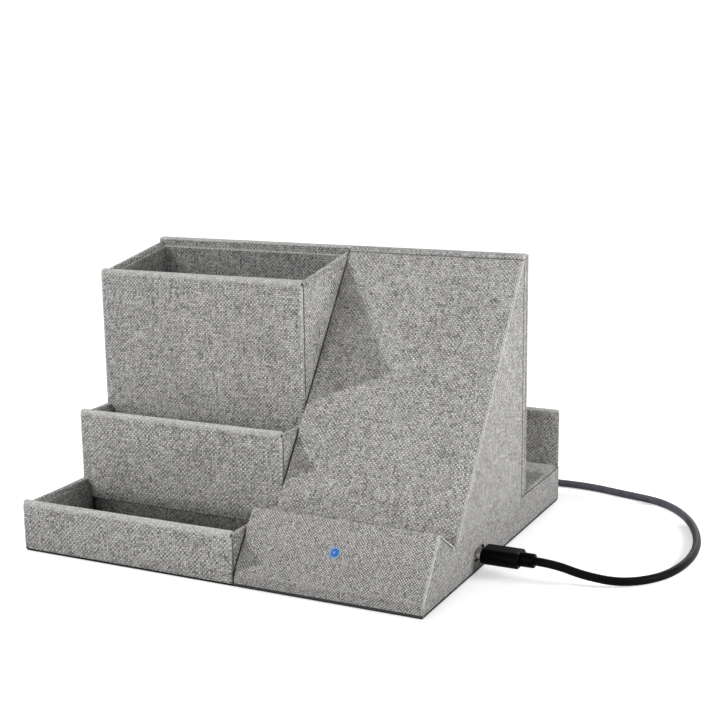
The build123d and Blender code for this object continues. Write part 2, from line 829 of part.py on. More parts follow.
def far_plug(tail):
    """The larger plug, lying on the desk beside the coil, and the short tail that leads to it."""
    axis_z = far_grip_height / 2
    drop_run = 3 * cord_diameter
    relief = Vector(tail.X + cord_diameter * 7.5, tail.Y, axis_z)
    tail_route = [
        tail,
        tail + Vector(2.5 * cord_diameter, 0, 0),
        Vector(relief.X - drop_run, tail.Y, axis_z),
        relief,
    ]
    cord_tube("cord_tail", tail_route)
    grip_x = relief.X + far_relief_length
    cone_start = Plane(origin=relief, z_dir=(1, 0, 0)) * Circle(cord_radius + fit)
    cone_end = Plane(origin=(grip_x, relief.Y, axis_z), z_dir=(1, 0, 0)) * Circle(far_relief_root / 2)
    save("far_strain_relief", loft([cone_start, cone_end]))
    end_plane = Plane(origin=(grip_x, relief.Y, axis_z), x_dir=(0, 1, 0), z_dir=(1, 0, 0))
    section = RectangleRounded(far_grip_width, far_grip_height, far_grip_corner)
    grip = extrude(end_plane * section, far_grip_length)
    grip = fillet(grip.faces().filter_by(Axis.X).edges(), far_grip_fold)
    face_plane = end_plane.offset(far_grip_length)
    outer = Rectangle(far_shell_width, far_shell_height)
    inner = Rectangle(far_shell_width - 2 * far_shell_wall, far_shell_height - 2 * far_shell_wall)
    root_plane = face_plane.offset(-far_shell_root)
    grip -= extrude(root_plane * outer, far_shell_root)
    save("far_plug_grip", grip)
    reach = far_shell_root + far_shell_length
    save("far_plug_shell", extrude(root_plane * (outer - inner), reach))
    tongue_y = (far_shell_height - far_tongue_thickness) / 2 - far_shell_wall
    tongue = Pos(0, tongue_y) * Rectangle(far_tongue_width, far_tongue_thickness)
    save("far_plug_tongue", extrude(root_plane * tongue, reach - far_shell_wall))


caddy_panels()
caddy_fronts()
linings()
back_boards()
stand_boards()
stand_sides()
base_plate()
charger_on_backrest()
charger_leads()
circuit_board()
socket()
light()
small_plug()
cord_tube("cord_lead", cord_route)
far_plug(coil())
tie()
print("backrest angle", round(degrees(rest_angle), 2))
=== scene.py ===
# %% [markdown]
# # A desk organizer with a charging stand
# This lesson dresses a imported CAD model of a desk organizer: three stepped compartments on the left,
# a sloping charging stand on the right, and an open slot along the whole back.
# Everything is thin board wrapped in grey woven cloth, which is glued down and turned in at the edges.
# The CAD model is the frame. Each new piece is placed by that frame and stands for the nodes it covers.

from math import asin, atan2, cos, pi, radians, sin

import bmesh
import bpy
from mathutils import Matrix, Vector, noise


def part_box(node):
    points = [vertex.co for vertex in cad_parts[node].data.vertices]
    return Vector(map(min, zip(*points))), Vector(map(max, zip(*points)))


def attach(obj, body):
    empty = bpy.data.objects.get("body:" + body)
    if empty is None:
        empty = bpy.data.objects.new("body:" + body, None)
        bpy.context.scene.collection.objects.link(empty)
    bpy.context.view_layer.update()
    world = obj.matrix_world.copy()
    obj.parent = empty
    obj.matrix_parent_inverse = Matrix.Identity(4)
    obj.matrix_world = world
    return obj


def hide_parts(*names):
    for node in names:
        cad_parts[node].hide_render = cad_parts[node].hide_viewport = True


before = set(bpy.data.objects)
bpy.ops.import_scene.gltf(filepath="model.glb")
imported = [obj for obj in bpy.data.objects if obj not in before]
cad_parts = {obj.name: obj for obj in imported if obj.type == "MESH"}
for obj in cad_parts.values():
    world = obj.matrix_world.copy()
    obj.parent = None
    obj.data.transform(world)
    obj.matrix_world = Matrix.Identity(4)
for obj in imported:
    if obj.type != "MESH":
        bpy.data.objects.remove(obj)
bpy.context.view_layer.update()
MM = 0.001

# %% [markdown]
# ## Camera
# The camera comes first, because it decides where spare cord may lie out of sight.
# Its place and direction were worked out from the corners of the organizer in the photograph,
# and its focal length from how fast the edges draw together. Three directions make its matrix.

# %% Camera at the photograph's viewing angle
def put_in(name, data):
    """A new object in the scene, at the origin."""
    made = bpy.data.objects.new(name, data)
    bpy.context.collection.objects.link(made)
    return made


camera_place = Vector((0.2701, -0.48935, 0.1880))
camera_right = Vector((0.8971, 0.4417, -0.0124)).normalized()
camera_up = Vector((-0.0793, 0.1885, 0.9789)).normalized()
camera_lens = 68.07

camera_back = camera_right.cross(camera_up).normalized()
camera_up = camera_back.cross(camera_right)
camera_data = bpy.data.cameras.new("photo_camera")
camera_data.sensor_width = 36
camera_data.lens = camera_lens
camera_data.clip_start = 0.01
camera_data.clip_end = 50
camera = put_in("photo_camera", camera_data)
turn = Matrix((camera_right, camera_up, camera_back)).transposed().to_4x4()
camera.matrix_world = Matrix.Translation(camera_place) @ turn
bpy.context.scene.camera = camera
print("camera", [round(n, 3) for n in camera_place], "lens", camera_lens)

# %% [markdown]
# ## The cord's route
# A charging lead of this kind is about a metre long. The photograph shows one loop of it, which leaves
# the plug, falls to the desk, swings out to the right and runs back behind the organizer.
# The rest is wound into a neat coil behind the organizer, where the camera can't see it.
# One NURBS spline of order 3 gives a line with no kinks. The order is set after the points are added.

# %% Route of the loose stretch, from the plug to the coil
cord_radius = 1.65 * MM
cord_exit = (111.6 * MM, -22.35 * MM, 7.4 * MM)
coil_low = 2.35 * MM
loose_route = [
    cord_exit,
    (119.5 * MM, -22.35 * MM, 7.3 * MM),
    (130.5 * MM, -21.2 * MM, 4.1 * MM),
    (143.5 * MM, -16.6 * MM, cord_radius),
    (155.5 * MM, -5.0 * MM, cord_radius),
    (160.7 * MM, 13.5 * MM, cord_radius),
    (160.4 * MM, 34.5 * MM, cord_radius),
    (155.0 * MM, 55.0 * MM, cord_radius),
    (146.0 * MM, 73.5 * MM, cord_radius),
    (133.0 * MM, 87.0 * MM, cord_radius),
    (114.5 * MM, 91.6 * MM, cord_radius),
    (96.0 * MM, 96.8 * MM, cord_radius),
    (77.0 * MM, 96.2 * MM, cord_radius),
    (58.0 * MM, 98.4 * MM, cord_radius),
    (40.5 * MM, 97.0 * MM, cord_radius),
    (22.5 * MM, 98.2 * MM, cord_radius),
    (3.5 * MM, 99.5 * MM, coil_low),
    (-16.7 * MM, 99.5 * MM, coil_low),
]
print("points in the loose stretch", len(loose_route))

# %% [markdown]
# The coil is a flat spiral in two layers: its half turns get smaller towards the middle, where the cord
# climbs onto itself, and then grow again on the way out. A loop places eight points on each half turn.

# %% Turns of the coil
coil_x = -20 * MM
coil_near_y = 99.5 * MM
coil_radius = 22.5 * MM
coil_pitch = 3.8 * MM
inward_half_turns = 5
points_per_half_turn = 8


def coil_points():
    """Points of the spiral, and the place and direction in which the cord leaves it."""
    points = []
    near_y, z, way = coil_near_y, coil_low, -1
    half_turns = 2 * inward_half_turns + 1
    for half in range(half_turns):
        radius = coil_radius - min(half, half_turns - 1 - half) * coil_pitch / 2
        middle_y = near_y - way * radius
        climb = coil_pitch if half == inward_half_turns else 0
        for step in range(points_per_half_turn):
            share = step / points_per_half_turn
            x = coil_x + way * radius * sin(pi * share)
            y = middle_y + way * radius * cos(pi * share)
            points.append((x, y, z + climb * share))
        near_y -= 2 * way * radius
        z += climb
        way = -way
    points.append((coil_x, near_y, z))
    return points


coil_route = coil_points()
print("coil points", len(coil_route), "ends at", [round(n / MM, 1) for n in coil_route[-1]])

# %% [markdown]
# A short tail leaves the coil and comes down into the larger plug, which lies on the desk.
# One small function makes every cord and wire in the scene: a curve with a round bevel for its thickness.

# %% Route of the tail, and the function for cords
tail_y = coil_route[-1][1]
tail_high = coil_route[-1][2]
far_plug_z = 3.9 * MM
tail_route = [
    (-16.7 * MM, tail_y, tail_high),
    (-8.45 * MM, tail_y, tail_high),
    (-1.85 * MM, tail_y, far_plug_z),
    (8.05 * MM, tail_y, far_plug_z),
]


def round_curve(name, routes, radius, finish, body, replaced):
    """Smooth round cords in one piece, each along its own route of control points."""
    curve = bpy.data.curves.new(name, "CURVE")
    curve.dimensions = "3D"
    for points in routes:
        spline = curve.splines.new("NURBS")
        spline.points.add(len(points) - 1)
        for control, place in zip(spline.points, points):
            control.co = (*place, 1)
        spline.order_u = 3
        spline.use_endpoint_u = True
        spline.resolution_u = 8
    curve.bevel_depth = radius
    curve.bevel_resolution = 6
    curve.use_fill_caps = True
    curve.materials.append(finish)
    made = put_in(name, curve)
    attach(made, body)
    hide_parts(*replaced)
    print(name, "control points", [len(spline.points) for spline in curve.splines])
    return made


cord_route = loose_route + coil_route + tail_route
print("control points in all", len(cord_route))

# %% [markdown]
# ## Stage and light
# The organizer stands on a white floor under a white sky. To the camera both are plain white, but the
# floor still takes a shadow, because it is an ordinary matt surface.
# Two lamps shape the cloth. A fairly sharp one from the upper left draws the shadow of the tray on the stand,
# and a broad low panel on the right lights the side of the stand, which is the brightest face. Two soft
# distant lamps, in front and behind, lift the shadows.

# %% Floor and sky
floor_mesh = bmesh.new()
bmesh.ops.create_grid(floor_mesh, x_segments=1, y_segments=1, size=6)
bmesh.ops.translate(floor_mesh, verts=floor_mesh.verts[:], vec=(0, 0, -0.2 * MM))
floor_data = bpy.data.meshes.new("floor")
floor_mesh.to_mesh(floor_data)
floor_mesh.free()
floor = put_in("floor", floor_data)


def lamp(name, toward_light, strength, softness):
    """A distant lamp; softness is the angle it seems to fill, in degrees."""
    data = bpy.data.lights.new(name, "SUN")
    data.energy = strength * pi
    data.angle = radians(softness)
    put_in(name, data).rotation_euler = Vector(toward_light).to_track_quat("Z", "Y").to_euler()


def panel_lamp(name, place, aim, watts, width):
    """A square lamp near the object, turned to a point on it."""
    data = bpy.data.lights.new(name, "AREA")
    data.energy = watts
    data.size = width
    made = put_in(name, data)
    made.location = place
    made.rotation_euler = (Vector(place) - Vector(aim)).to_track_quat("Z", "Y").to_euler()


lamp("left_lamp", (-0.68, -0.20, 0.71), 0.55, 2)
lamp("front_fill", (-0.20, -0.92, 0.32), 0.35, 40)
lamp("back_fill", (-0.10, 0.90, 0.42), 0.22, 30)
panel_lamp("right_lamp", (0.40, 0.03, 0.14), (0.089, 0, 0.09), 0.93, 0.14)

# %% [markdown]
# ## Helpers for shader nodes
# Node trees read better in code when a link or a plain value is set with the same call.
# These few helpers are used for every finish below, also inside the shader groups.

# %% Node helpers


def add_node(tree, kind, **settings):
    """A new node with some of its settings."""
    made = tree.nodes.new(kind)
    for name, value in settings.items():
        setattr(made, name, value)
    return made


def feed(tree, source, socket):
    """Links an output to a socket, or writes a plain value on it."""
    if isinstance(source, bpy.types.NodeSocket):
        tree.links.new(source, socket)
    else:
        socket.default_value = source


def maths(tree, operation, *values):
    """One step of arithmetic; each value is a number or an output."""
    step = add_node(tree, "ShaderNodeMath", operation=operation)
    for socket, value in zip(step.inputs, values):
        feed(tree, value, socket)
    return step.outputs[0]


def vector_maths(tree, operation, first, second, socket=1):
    """One step of arithmetic on vectors; socket is where the second value goes."""
    step = add_node(tree, "ShaderNodeVectorMath", operation=operation)
    feed(tree, first, step.inputs[0])
    feed(tree, second, step.inputs[socket])
    return step.outputs["Value" if operation == "DISTANCE" else 0]


print("link and arithmetic helpers ready")

# %% [markdown]
# The next helpers each stand for one common node: noise, a range, a mix of two colours, and vectors.

# %% Helpers for common nodes


def noise_at(tree, where, scale, detail=2.0, roughness=0.5):
    """Soft noise from 0 to 1, mostly near a half."""
    made = add_node(tree, "ShaderNodeTexNoise")
    feed(tree, where, made.inputs["Vector"])
    made.inputs["Scale"].default_value = scale
    made.inputs["Detail"].default_value = detail
    made.inputs["Roughness"].default_value = roughness
    return made.outputs["Fac"]


def spread(tree, value, low, high, new_low=0.0, new_high=1.0):
    """Stretches the range low to high onto a new one, and holds it there."""
    made = add_node(tree, "ShaderNodeMapRange")
    feed(tree, value, made.inputs["Value"])
    for label, number in zip(("From Min", "From Max", "To Min", "To Max"), (low, high, new_low, new_high)):
        feed(tree, number, made.inputs[label])
    return made.outputs["Result"]


def blend_colours(tree, share, first, second):
    """A colour between two, by share."""
    made = add_node(tree, "ShaderNodeMix", data_type="RGBA")
    feed(tree, share, made.inputs["Factor"])
    feed(tree, first, made.inputs["A"])
    feed(tree, second, made.inputs["B"])
    return made.outputs["Result"]


def vector_of(tree, x, y, z):
    """A vector put together from three numbers or outputs."""
    made = add_node(tree, "ShaderNodeCombineXYZ")
    for socket, value in zip(made.inputs, (x, y, z)):
        feed(tree, value, socket)
    return made.outputs[0]


def split_vector(tree, vector):
    """The three parts of a vector."""
    made = add_node(tree, "ShaderNodeSeparateXYZ")
    feed(tree, vector, made.inputs[0])
    return made.outputs[0], made.outputs[1], made.outputs[2]


print("node helpers ready")

# %% [markdown]
# Every finish starts from a Principled shader and writes a few plain values on it; most end with a bump.
# An effect that several finishes share is a group with named inputs and outputs, built once.

# %% Helpers for materials and groups


def new_material(name):
    """A material, with its node tree and its Principled shader."""
    material = bpy.data.materials.new(name)
    material.use_nodes = True
    return material, material.node_tree, material.node_tree.nodes["Principled BSDF"]


def set_values(skin, **values):
    """Writes plain values on a shader's sockets; an underscore in a name stands for a space."""
    for label, value in values.items():
        skin.inputs[label.replace("_", " ")].default_value = value


def add_bump(tree, skin, height, strength, distance):
    """Feeds a height into the shader's normal through a Bump node."""
    bump = add_node(tree, "ShaderNodeBump")
    bump.inputs["Strength"].default_value = strength
    bump.inputs["Distance"].default_value = distance
    feed(tree, height, bump.inputs["Height"])
    feed(tree, bump.outputs[0], skin.inputs["Normal"])


def new_group(name, inputs, outputs):
    """An empty shader group with named sockets, and its two end nodes."""
    tree = bpy.data.node_groups.new(name, "ShaderNodeTree")
    for label, kind, value in inputs:
        socket = tree.interface.new_socket(label, in_out="INPUT", socket_type=kind)
        if value is not None:
            socket.default_value = value
    for label, kind in outputs:
        tree.interface.new_socket(label, in_out="OUTPUT", socket_type=kind)
    return tree, tree.nodes.new("NodeGroupInput"), tree.nodes.new("NodeGroupOutput")


def use_group(tree, group, **inputs):
    """Places a group in a material with its own values; an underscore in a name stands for a space."""
    made = add_node(tree, "ShaderNodeGroup", node_tree=group)
    for label, value in inputs.items():
        feed(tree, value, made.inputs[label.replace("_", " ")])
    return made


print("material helpers ready")

# %% [markdown]
# ## Woven cloth, as a shader group
# The cloth is a plain weave: each thread goes over one neighbour and under the next. A picture of cloth
# could be laid on, but it would repeat and blur close to, so the threads are worked out by shader nodes.
# The pattern is worked out on the piece's own UV map, which is in metres, so one cloth has threads of one
# width on all its pieces. Each thread has its own shade, and the shade drifts slowly along it. That gives the
# heather look and the slubs. Warp and weft differ in shade by an amount called Two Tone, and where a few
# neighbouring threads are thicker together they show as a pale or dark streak.
# The group gives out the shade of whichever thread lies on top, and its height for the bump.

# %% Group: plain weave of heather threads
FLOAT, VECTOR = "NodeSocketFloat", "NodeSocketVector"
STREAK_LONG, STREAK_CLOSE = 120, 620


def heather_weave():
    """The group for the cloth: shade and height of the thread on top, and a slow cloud."""
    tree, start, end = new_group(
        "heather_weave",
        [("Cloth", VECTOR, None), ("Threads", FLOAT, 1600.0), ("Wander", FLOAT, 1.2),
         ("Two Tone", FLOAT, 0.7), ("Slub", FLOAT, 1.2), ("Fleck", FLOAT, 2.6), ("Streak", FLOAT, 0.4)],
        [("Shade", FLOAT), ("Height", FLOAT), ("Cloud", FLOAT)],
    )
    cloth = start.outputs["Cloth"]
    drift = add_node(tree, "ShaderNodeTexNoise")
    feed(tree, cloth, drift.inputs["Vector"])
    drift.inputs["Scale"].default_value = 380
    drift.inputs["Detail"].default_value = 2
    centred = vector_maths(tree, "SUBTRACT", drift.outputs["Color"], (0.5, 0.5, 0.5))
    pushed = vector_maths(tree, "SCALE", centred, start.outputs["Wander"], "Scale")
    counted = vector_maths(tree, "SCALE", cloth, start.outputs["Threads"], "Scale")
    across, along, _ = split_vector(tree, vector_maths(tree, "ADD", counted, pushed))

    warp_number = maths(tree, "FLOOR", across)
    weft_number = maths(tree, "FLOOR", along)
    warp_crown = maths(tree, "SINE", maths(tree, "MULTIPLY", maths(tree, "FRACT", across), pi))
    weft_crown = maths(tree, "SINE", maths(tree, "MULTIPLY", maths(tree, "FRACT", along), pi))
    warp_on_top = maths(tree, "PINGPONG", maths(tree, "ADD", warp_number, weft_number), 1)

    def crowned(own, other):
        """Height of a thread, lower where it dips under its neighbour."""
        return maths(tree, "MULTIPLY", own, maths(tree, "MULTIPLY_ADD", other, 0.45, 0.55))

    def thread_shade(number, run, seed):
        """Shade of one thread along its run: a slow drift and quick flecks."""
        slow = noise_at(tree, vector_of(tree, maths(tree, "MULTIPLY", number, 13.7),
                                        maths(tree, "MULTIPLY", run, 0.2), seed), 1, 1)
        quick = noise_at(tree, vector_of(tree, maths(tree, "MULTIPLY", number, 7.3),
                                         maths(tree, "MULTIPLY", run, 0.8), seed + 9), 1, 2)
        drifted = maths(tree, "MULTIPLY", maths(tree, "SUBTRACT", slow, 0.5), start.outputs["Slub"])
        flecked = maths(tree, "MULTIPLY", maths(tree, "SUBTRACT", quick, 0.5), start.outputs["Fleck"])
        return maths(tree, "ADD", drifted, maths(tree, "ADD", flecked, 0.5))

    def on_top(warp, weft):
        """Whichever of two values belongs to the thread on top."""
        made = add_node(tree, "ShaderNodeMix", data_type="FLOAT")
        feed(tree, warp_on_top, made.inputs["Factor"])
        feed(tree, weft, made.inputs["A"])
        feed(tree, warp, made.inputs["B"])
        return made.outputs["Result"]

    height = on_top(crowned(warp_crown, weft_crown), crowned(weft_crown, warp_crown))
    shade = on_top(thread_shade(warp_number, along, 3.0), thread_shade(weft_number, across, 21.0))
    apart = maths(tree, "MULTIPLY", maths(tree, "SUBTRACT", 0.5, warp_on_top), start.outputs["Two Tone"])
    u, v, _ = split_vector(tree, cloth)

    def streak(u_scale, v_scale, seed):
        """Noise that is drawn out along the threads of one direction."""
        u_place, v_place = maths(tree, "MULTIPLY", u, u_scale), maths(tree, "MULTIPLY", v, v_scale)
        return noise_at(tree, vector_of(tree, u_place, v_place, seed), 1, 2)

    upright, level = streak(STREAK_CLOSE, STREAK_LONG, 4), streak(STREAK_LONG, STREAK_CLOSE, 8)
    streaks = maths(tree, "SUBTRACT", maths(tree, "ADD", upright, level), 1.0)
    shade = maths(tree, "MULTIPLY_ADD", streaks, start.outputs["Streak"], shade)
    feed(tree, maths(tree, "ADD", shade, apart), end.inputs["Shade"])
    feed(tree, height, end.inputs["Height"])
    feed(tree, noise_at(tree, cloth, 38, 3, 0.6), end.inputs["Cloud"])
    return tree


weave_group = heather_weave()
print("weave nodes", len(weave_group.nodes))

# %% [markdown]
# ## Fold marks and painted shade lines, as a shader group
# Where cloth is folded over the edge of a board it is worn pale, and its fibres stand up and catch the light,
# which is painted in as a highlight. Along a cut edge, a seam, a slit and in a tucked pit there is a fine
# dark
# line: glue at the seams, and otherwise painted shade. Each mesh carries two attributes for this, from 0 to
# 1:
# "fold" on its rounded edges and "cut" on the painted shade lines and pits. The group turns them into masks
# that are broken up by noise, so that no line is perfectly even.

# %% Group: worn and highlighted folds, and painted shade lines


def edge_marks():
    """The group for worn, highlighted folds and for painted shade along cut edges, seams, slits and pits."""
    tree, start, end = new_group(
        "edge_marks",
        [("Place", VECTOR, None)],
        [("Worn Fold And Highlight", FLOAT), ("Cut Line And Shade", FLOAT)],
    )
    patchy = noise_at(tree, start.outputs["Place"], 900, 3, 0.7)
    fold = add_node(tree, "ShaderNodeAttribute", attribute_name="fold")
    cut = add_node(tree, "ShaderNodeAttribute", attribute_name="cut")
    broken = spread(tree, patchy, 0.3, 0.7, 0.4, 1.0)
    # Pale folds: wear and painted highlight
    feed(tree, maths(tree, "MULTIPLY", fold.outputs["Fac"], broken), end.inputs["Worn Fold And Highlight"])
    # Dark lines and pits: painted shade
    steady = spread(tree, patchy, 0.2, 0.6, 0.6, 1.0)
    feed(tree, maths(tree, "MULTIPLY", cut.outputs["Fac"], steady), end.inputs["Cut Line And Shade"])
    return tree


marks_group = edge_marks()
print("mark nodes", len(marks_group.nodes))

# %% [markdown]
# ## The cloth itself
# The shade picks a colour between a charcoal and a pale fibre. Gaps between threads are darkened as painted
# shade, folds are lightened as wear and painted highlight, and cut edges get their dark line of painted
# shade.
# Low down the cloth is painted darker towards the bottom, as shade. Fuzz on the surface comes from a little
# sheen and a high roughness. Pieces that face the light differently wear the same cloth in slightly different
# painted shades of light. The cloth over the lamp also glows in a small ring, painted light from the lamp
# behind it.

# %% Material: grey woven cloth
DARK_FIBRE = (0.175, 0.170, 0.165, 1)
PALE_FIBRE = (0.860, 0.846, 0.824, 1)
# Pale colour of folds: wear and a painted highlight together
WORN_AND_HIGHLIT_FIBRE = (0.860, 0.850, 0.830, 1)
EDGE_SHADOW = (0.020, 0.019, 0.019, 1)
LAMP_BLUE, LAMP_LILAC = (0.003, 0.105, 0.440, 1), (0.30, 0.30, 0.68, 1)
# Painted light of the lamp on the cloth round it: a glowing blue and a dark blue tint
PALE_BLUE, LAMP_TINT_BLUE = (0.08, 0.38, 0.66, 1), (0.01, 0.03, 0.07, 1)
UNLIT = (0, 0, 0, 1)


def at_level(fibre, level):
    """A fibre's colour, painted lighter or darker for the light on its piece; the fourth number stays."""
    return (*(n * level for n in fibre[:3]), 1)


def cloth_finish(name, level, threads=1230.0, two_tone=0.4, slub=1.2, fleck=2.6, streak=0.4,
                 depth=0.11 * MM, glow=None):
    """Woven cloth of so many threads a metre; level is painted light or shade for its piece, and glow is the
    place of a lamp behind it, whose light is painted round it.
    """
    material, tree, skin = new_material(name)
    uv = add_node(tree, "ShaderNodeUVMap", uv_map="cloth").outputs[0]
    place = add_node(tree, "ShaderNodeTexCoord").outputs["Object"]
    weave = use_group(tree, weave_group, Cloth=uv, Threads=threads, Two_Tone=two_tone, Slub=slub, Fleck=fleck,
                      Streak=streak)
    marks = use_group(tree, marks_group, Place=place)
    cloud = weave.outputs["Cloud"]

    shade = maths(tree, "ADD", weave.outputs["Shade"], spread(tree, cloud, 0.3, 0.7, -0.08, 0.08))
    shade = maths(tree, "MINIMUM", shade, 1.0)
    shade = maths(tree, "MAXIMUM", shade, 0.0)
    # Painted shade: darker towards the bottom, with a narrow band below 7 mm
    _, _, high = split_vector(tree, place)
    painted_low_shade = maths(tree, "ADD", spread(tree, high, 2 * MM, 28 * MM, 0.20, 0.0),
                 spread(tree, high, 5 * MM, 7 * MM, 0.05, 0.0))
    painted_low_shade = maths(tree, "MULTIPLY", painted_low_shade, spread(tree, cloud, 0.3, 0.7, 0.8, 1.2))
    thread = blend_colours(tree, shade, at_level(DARK_FIBRE, level), at_level(PALE_FIBRE, level))
    # Painted shade in the gaps between threads
    gap = spread(tree, weave.outputs["Height"], 0.1, 0.7, 0.6, 0.0)
    thread = blend_colours(tree, gap, thread, EDGE_SHADOW)
    thread = blend_colours(tree, painted_low_shade, thread, EDGE_SHADOW)
    # Pale folds: wear and painted highlight
    thread = blend_colours(tree, maths(tree, "MULTIPLY", marks.outputs["Worn Fold And Highlight"], 0.9), thread, WORN_AND_HIGHLIT_FIBRE)
    # Painted shade along cut edges, seams, slits and pits
    thread = blend_colours(tree, marks.outputs["Cut Line And Shade"], thread, EDGE_SHADOW)
    feed(tree, thread, skin.inputs["Base Color"])
    feed(tree, spread(tree, weave.outputs["Shade"], 0, 1, 0.95, 0.80), skin.inputs["Roughness"])
    set_values(skin, Specular_IOR_Level=0.25, Sheen_Weight=0.12, Sheen_Roughness=0.5)
    add_bump(tree, skin, weave.outputs["Height"], 0.9, depth)

    # Painted light from the lamp behind the cloth: a small ring that glows blue
    if glow is not None:
        away = vector_maths(tree, "DISTANCE", place, glow)
        halo = spread(tree, away, 1.4 * MM, 2.5 * MM, 1.0, 0.0)
        feed(tree, blend_colours(tree, halo, thread, LAMP_TINT_BLUE), skin.inputs["Base Color"])
        beam = blend_colours(tree, spread(tree, away, 1.3 * MM, 2.0 * MM), LAMP_BLUE, PALE_BLUE)
        feed(tree, blend_colours(tree, halo, UNLIT, beam), skin.inputs["Emission Color"])
        set_values(skin, Emission_Strength=1.0)
    return material


print("fibres from", DARK_FIBRE[0], "to", PALE_FIBRE[0])

# %% [markdown]
# The same cloth looks a little different on each part of the photograph: finer on the stand, softer on the
# tall cup, and darker inside, where less light comes. Each copy's level is painted light or shade, for how
# much light its piece gets.

# %% Cloths of the organizer
# The levels are painted light and shade: lighter on the compartments, darker on the sides, darkest in the
# linings
caddy_cloth = cloth_finish("caddy_cloth", level=1.10, threads=1100.0, fleck=2.1)
cup_cloth = cloth_finish("cup_cloth", level=1.07, slub=1.4, fleck=1.9, streak=0.6)
stand_cloth = cloth_finish("stand_cloth", level=0.96, two_tone=0.36, fleck=2.0)
side_cloth = cloth_finish("side_cloth", level=0.88, slub=1.0, fleck=2.2, streak=0.3)
lining_cloth = cloth_finish("lining_cloth", level=0.72)
print("cloth nodes", len(caddy_cloth.node_tree.nodes))

# %% [markdown]
# ## Floor and sky finishes
# The floor is matt white to the camera, and a little greyer to everything else, so that it doesn't
# throw too much light up under the organizer. The sky is white to the camera and in reflections.

# %% Material: floor, and the world
def floor_finish():
    """Matt white that glows to the camera and in reflections only."""
    material, tree, skin = new_material("white_floor")
    path = add_node(tree, "ShaderNodeLightPath")
    seen = maths(tree, "MAXIMUM", path.outputs["Is Camera Ray"], path.outputs["Is Glossy Ray"])
    colour = blend_colours(tree, seen, (0.72, 0.72, 0.72, 1), (0.90, 0.90, 0.90, 1))
    feed(tree, colour, skin.inputs["Base Color"])
    shine = blend_colours(tree, seen, UNLIT, (1, 1, 1, 1))
    feed(tree, shine, skin.inputs["Emission Color"])
    set_values(skin, Emission_Strength=0.48, Roughness=1.0, Specular_IOR_Level=0.0)
    return material


floor.data.materials.append(floor_finish())

world = bpy.data.worlds.new("studio")
world.use_nodes = True
bpy.context.scene.world = world
sky_tree = world.node_tree
sky = sky_tree.nodes["Background"]
sky_path = add_node(sky_tree, "ShaderNodeLightPath")
sky_seen = maths(sky_tree, "MAXIMUM", sky_path.outputs["Is Camera Ray"],
                 maths(sky_tree, "MAXIMUM", sky_path.outputs["Is Glossy Ray"],
                       sky_path.outputs["Is Transmission Ray"]))
sky_light = 0.13
feed(sky_tree, spread(sky_tree, sky_seen, 0, 1, sky_light, 1.0), sky.inputs["Strength"])
sky.inputs["Color"].default_value = (1, 1, 1, 1)
bpy.context.scene.view_settings.view_transform = "Standard"
print("sky light", sky_light)

# %% [markdown]
# ## Grain for everything that isn't cloth
# One group gives three masks from the object's own position: fine specks, slow clouds, and marks that are
# drawn out along one direction, such as moulding flow or brushing. Every plastic, metal, card and rubber
# finish below mixes these into its colour, roughness and bump in its own amounts.

# %% Group: fine grain


def fine_grain():
    """The group for specks, clouds and drawn marks."""
    tree, start, end = new_group(
        "fine_grain",
        [("Place", VECTOR, None), ("Fineness", FLOAT, 1.0)],
        [("Speck", FLOAT), ("Cloud", FLOAT), ("Drawn", FLOAT)],
    )
    place = vector_maths(tree, "SCALE", start.outputs["Place"], start.outputs["Fineness"], "Scale")
    x, y, z = split_vector(tree, place)
    drawn_out = vector_of(tree, maths(tree, "MULTIPLY", x, 0.06), y, z)
    feed(tree, spread(tree, noise_at(tree, place, 3200, 3, 0.65), 0.3, 0.7), end.inputs["Speck"])
    feed(tree, spread(tree, noise_at(tree, place, 130, 3, 0.6), 0.3, 0.7), end.inputs["Cloud"])
    feed(tree, spread(tree, noise_at(tree, drawn_out, 2600, 2, 0.6), 0.35, 0.65), end.inputs["Drawn"])
    return tree


grain_group = fine_grain()
print("grain nodes", len(grain_group.nodes))

# %% [markdown]
# A finish mixes the three masks by its own shares, and the mixture drives colour, roughness and bump
# together, so that a speck differs in all three at once, as a real one does.

# %% Finishes made from grain


def grained_finish(name, colour, worn, roughness, mix, relief, metallic=0.0, fineness=1.0, coat=0.0,
                   sheen=0.0, gloss=0.5):
    """A finish that runs from colour to worn by its mixture of grain.

    mix has the shares of specks, clouds and drawn marks, and relief is their height in millimetres.
    """
    material, tree, skin = new_material(name)
    place = add_node(tree, "ShaderNodeTexCoord").outputs["Object"]
    grain = use_group(tree, grain_group, Place=place, Fineness=fineness)
    mixed = maths(tree, "MULTIPLY", grain.outputs["Speck"], mix[0])
    mixed = maths(tree, "MULTIPLY_ADD", grain.outputs["Cloud"], mix[1], mixed)
    mixed = maths(tree, "MULTIPLY_ADD", grain.outputs["Drawn"], mix[2], mixed)
    feed(tree, blend_colours(tree, mixed, (*colour, 1), (*worn, 1)), skin.inputs["Base Color"])
    feed(tree, spread(tree, mixed, 0, 1, roughness * 0.85, min(1.0, roughness * 1.2)),
         skin.inputs["Roughness"])
    set_values(skin, Metallic=metallic, Specular_IOR_Level=gloss, Coat_Weight=coat, Coat_Roughness=0.15,
               Sheen_Weight=sheen)
    add_bump(tree, skin, mixed, 0.6, relief * MM)
    return material


def paint_light_to_back(material, low_y, high_y, colour, amount):
    """Paints pale light over a finish, more towards the back of the scene."""
    tree = material.node_tree
    skin = tree.nodes["Principled BSDF"]
    before = skin.inputs["Base Color"].links[0].from_socket
    place = add_node(tree, "ShaderNodeTexCoord").outputs["Object"]
    _, y, _ = split_vector(tree, place)
    painted_light = maths(tree, "MULTIPLY", spread(tree, y, low_y, high_y, 0.0, amount),
                  spread(tree, noise_at(tree, place, 400, 3, 0.6), 0.3, 0.7, 0.8, 1.2))
    feed(tree, blend_colours(tree, painted_light, before, (*colour, 1)), skin.inputs["Base Color"])


print("grained finish ready")
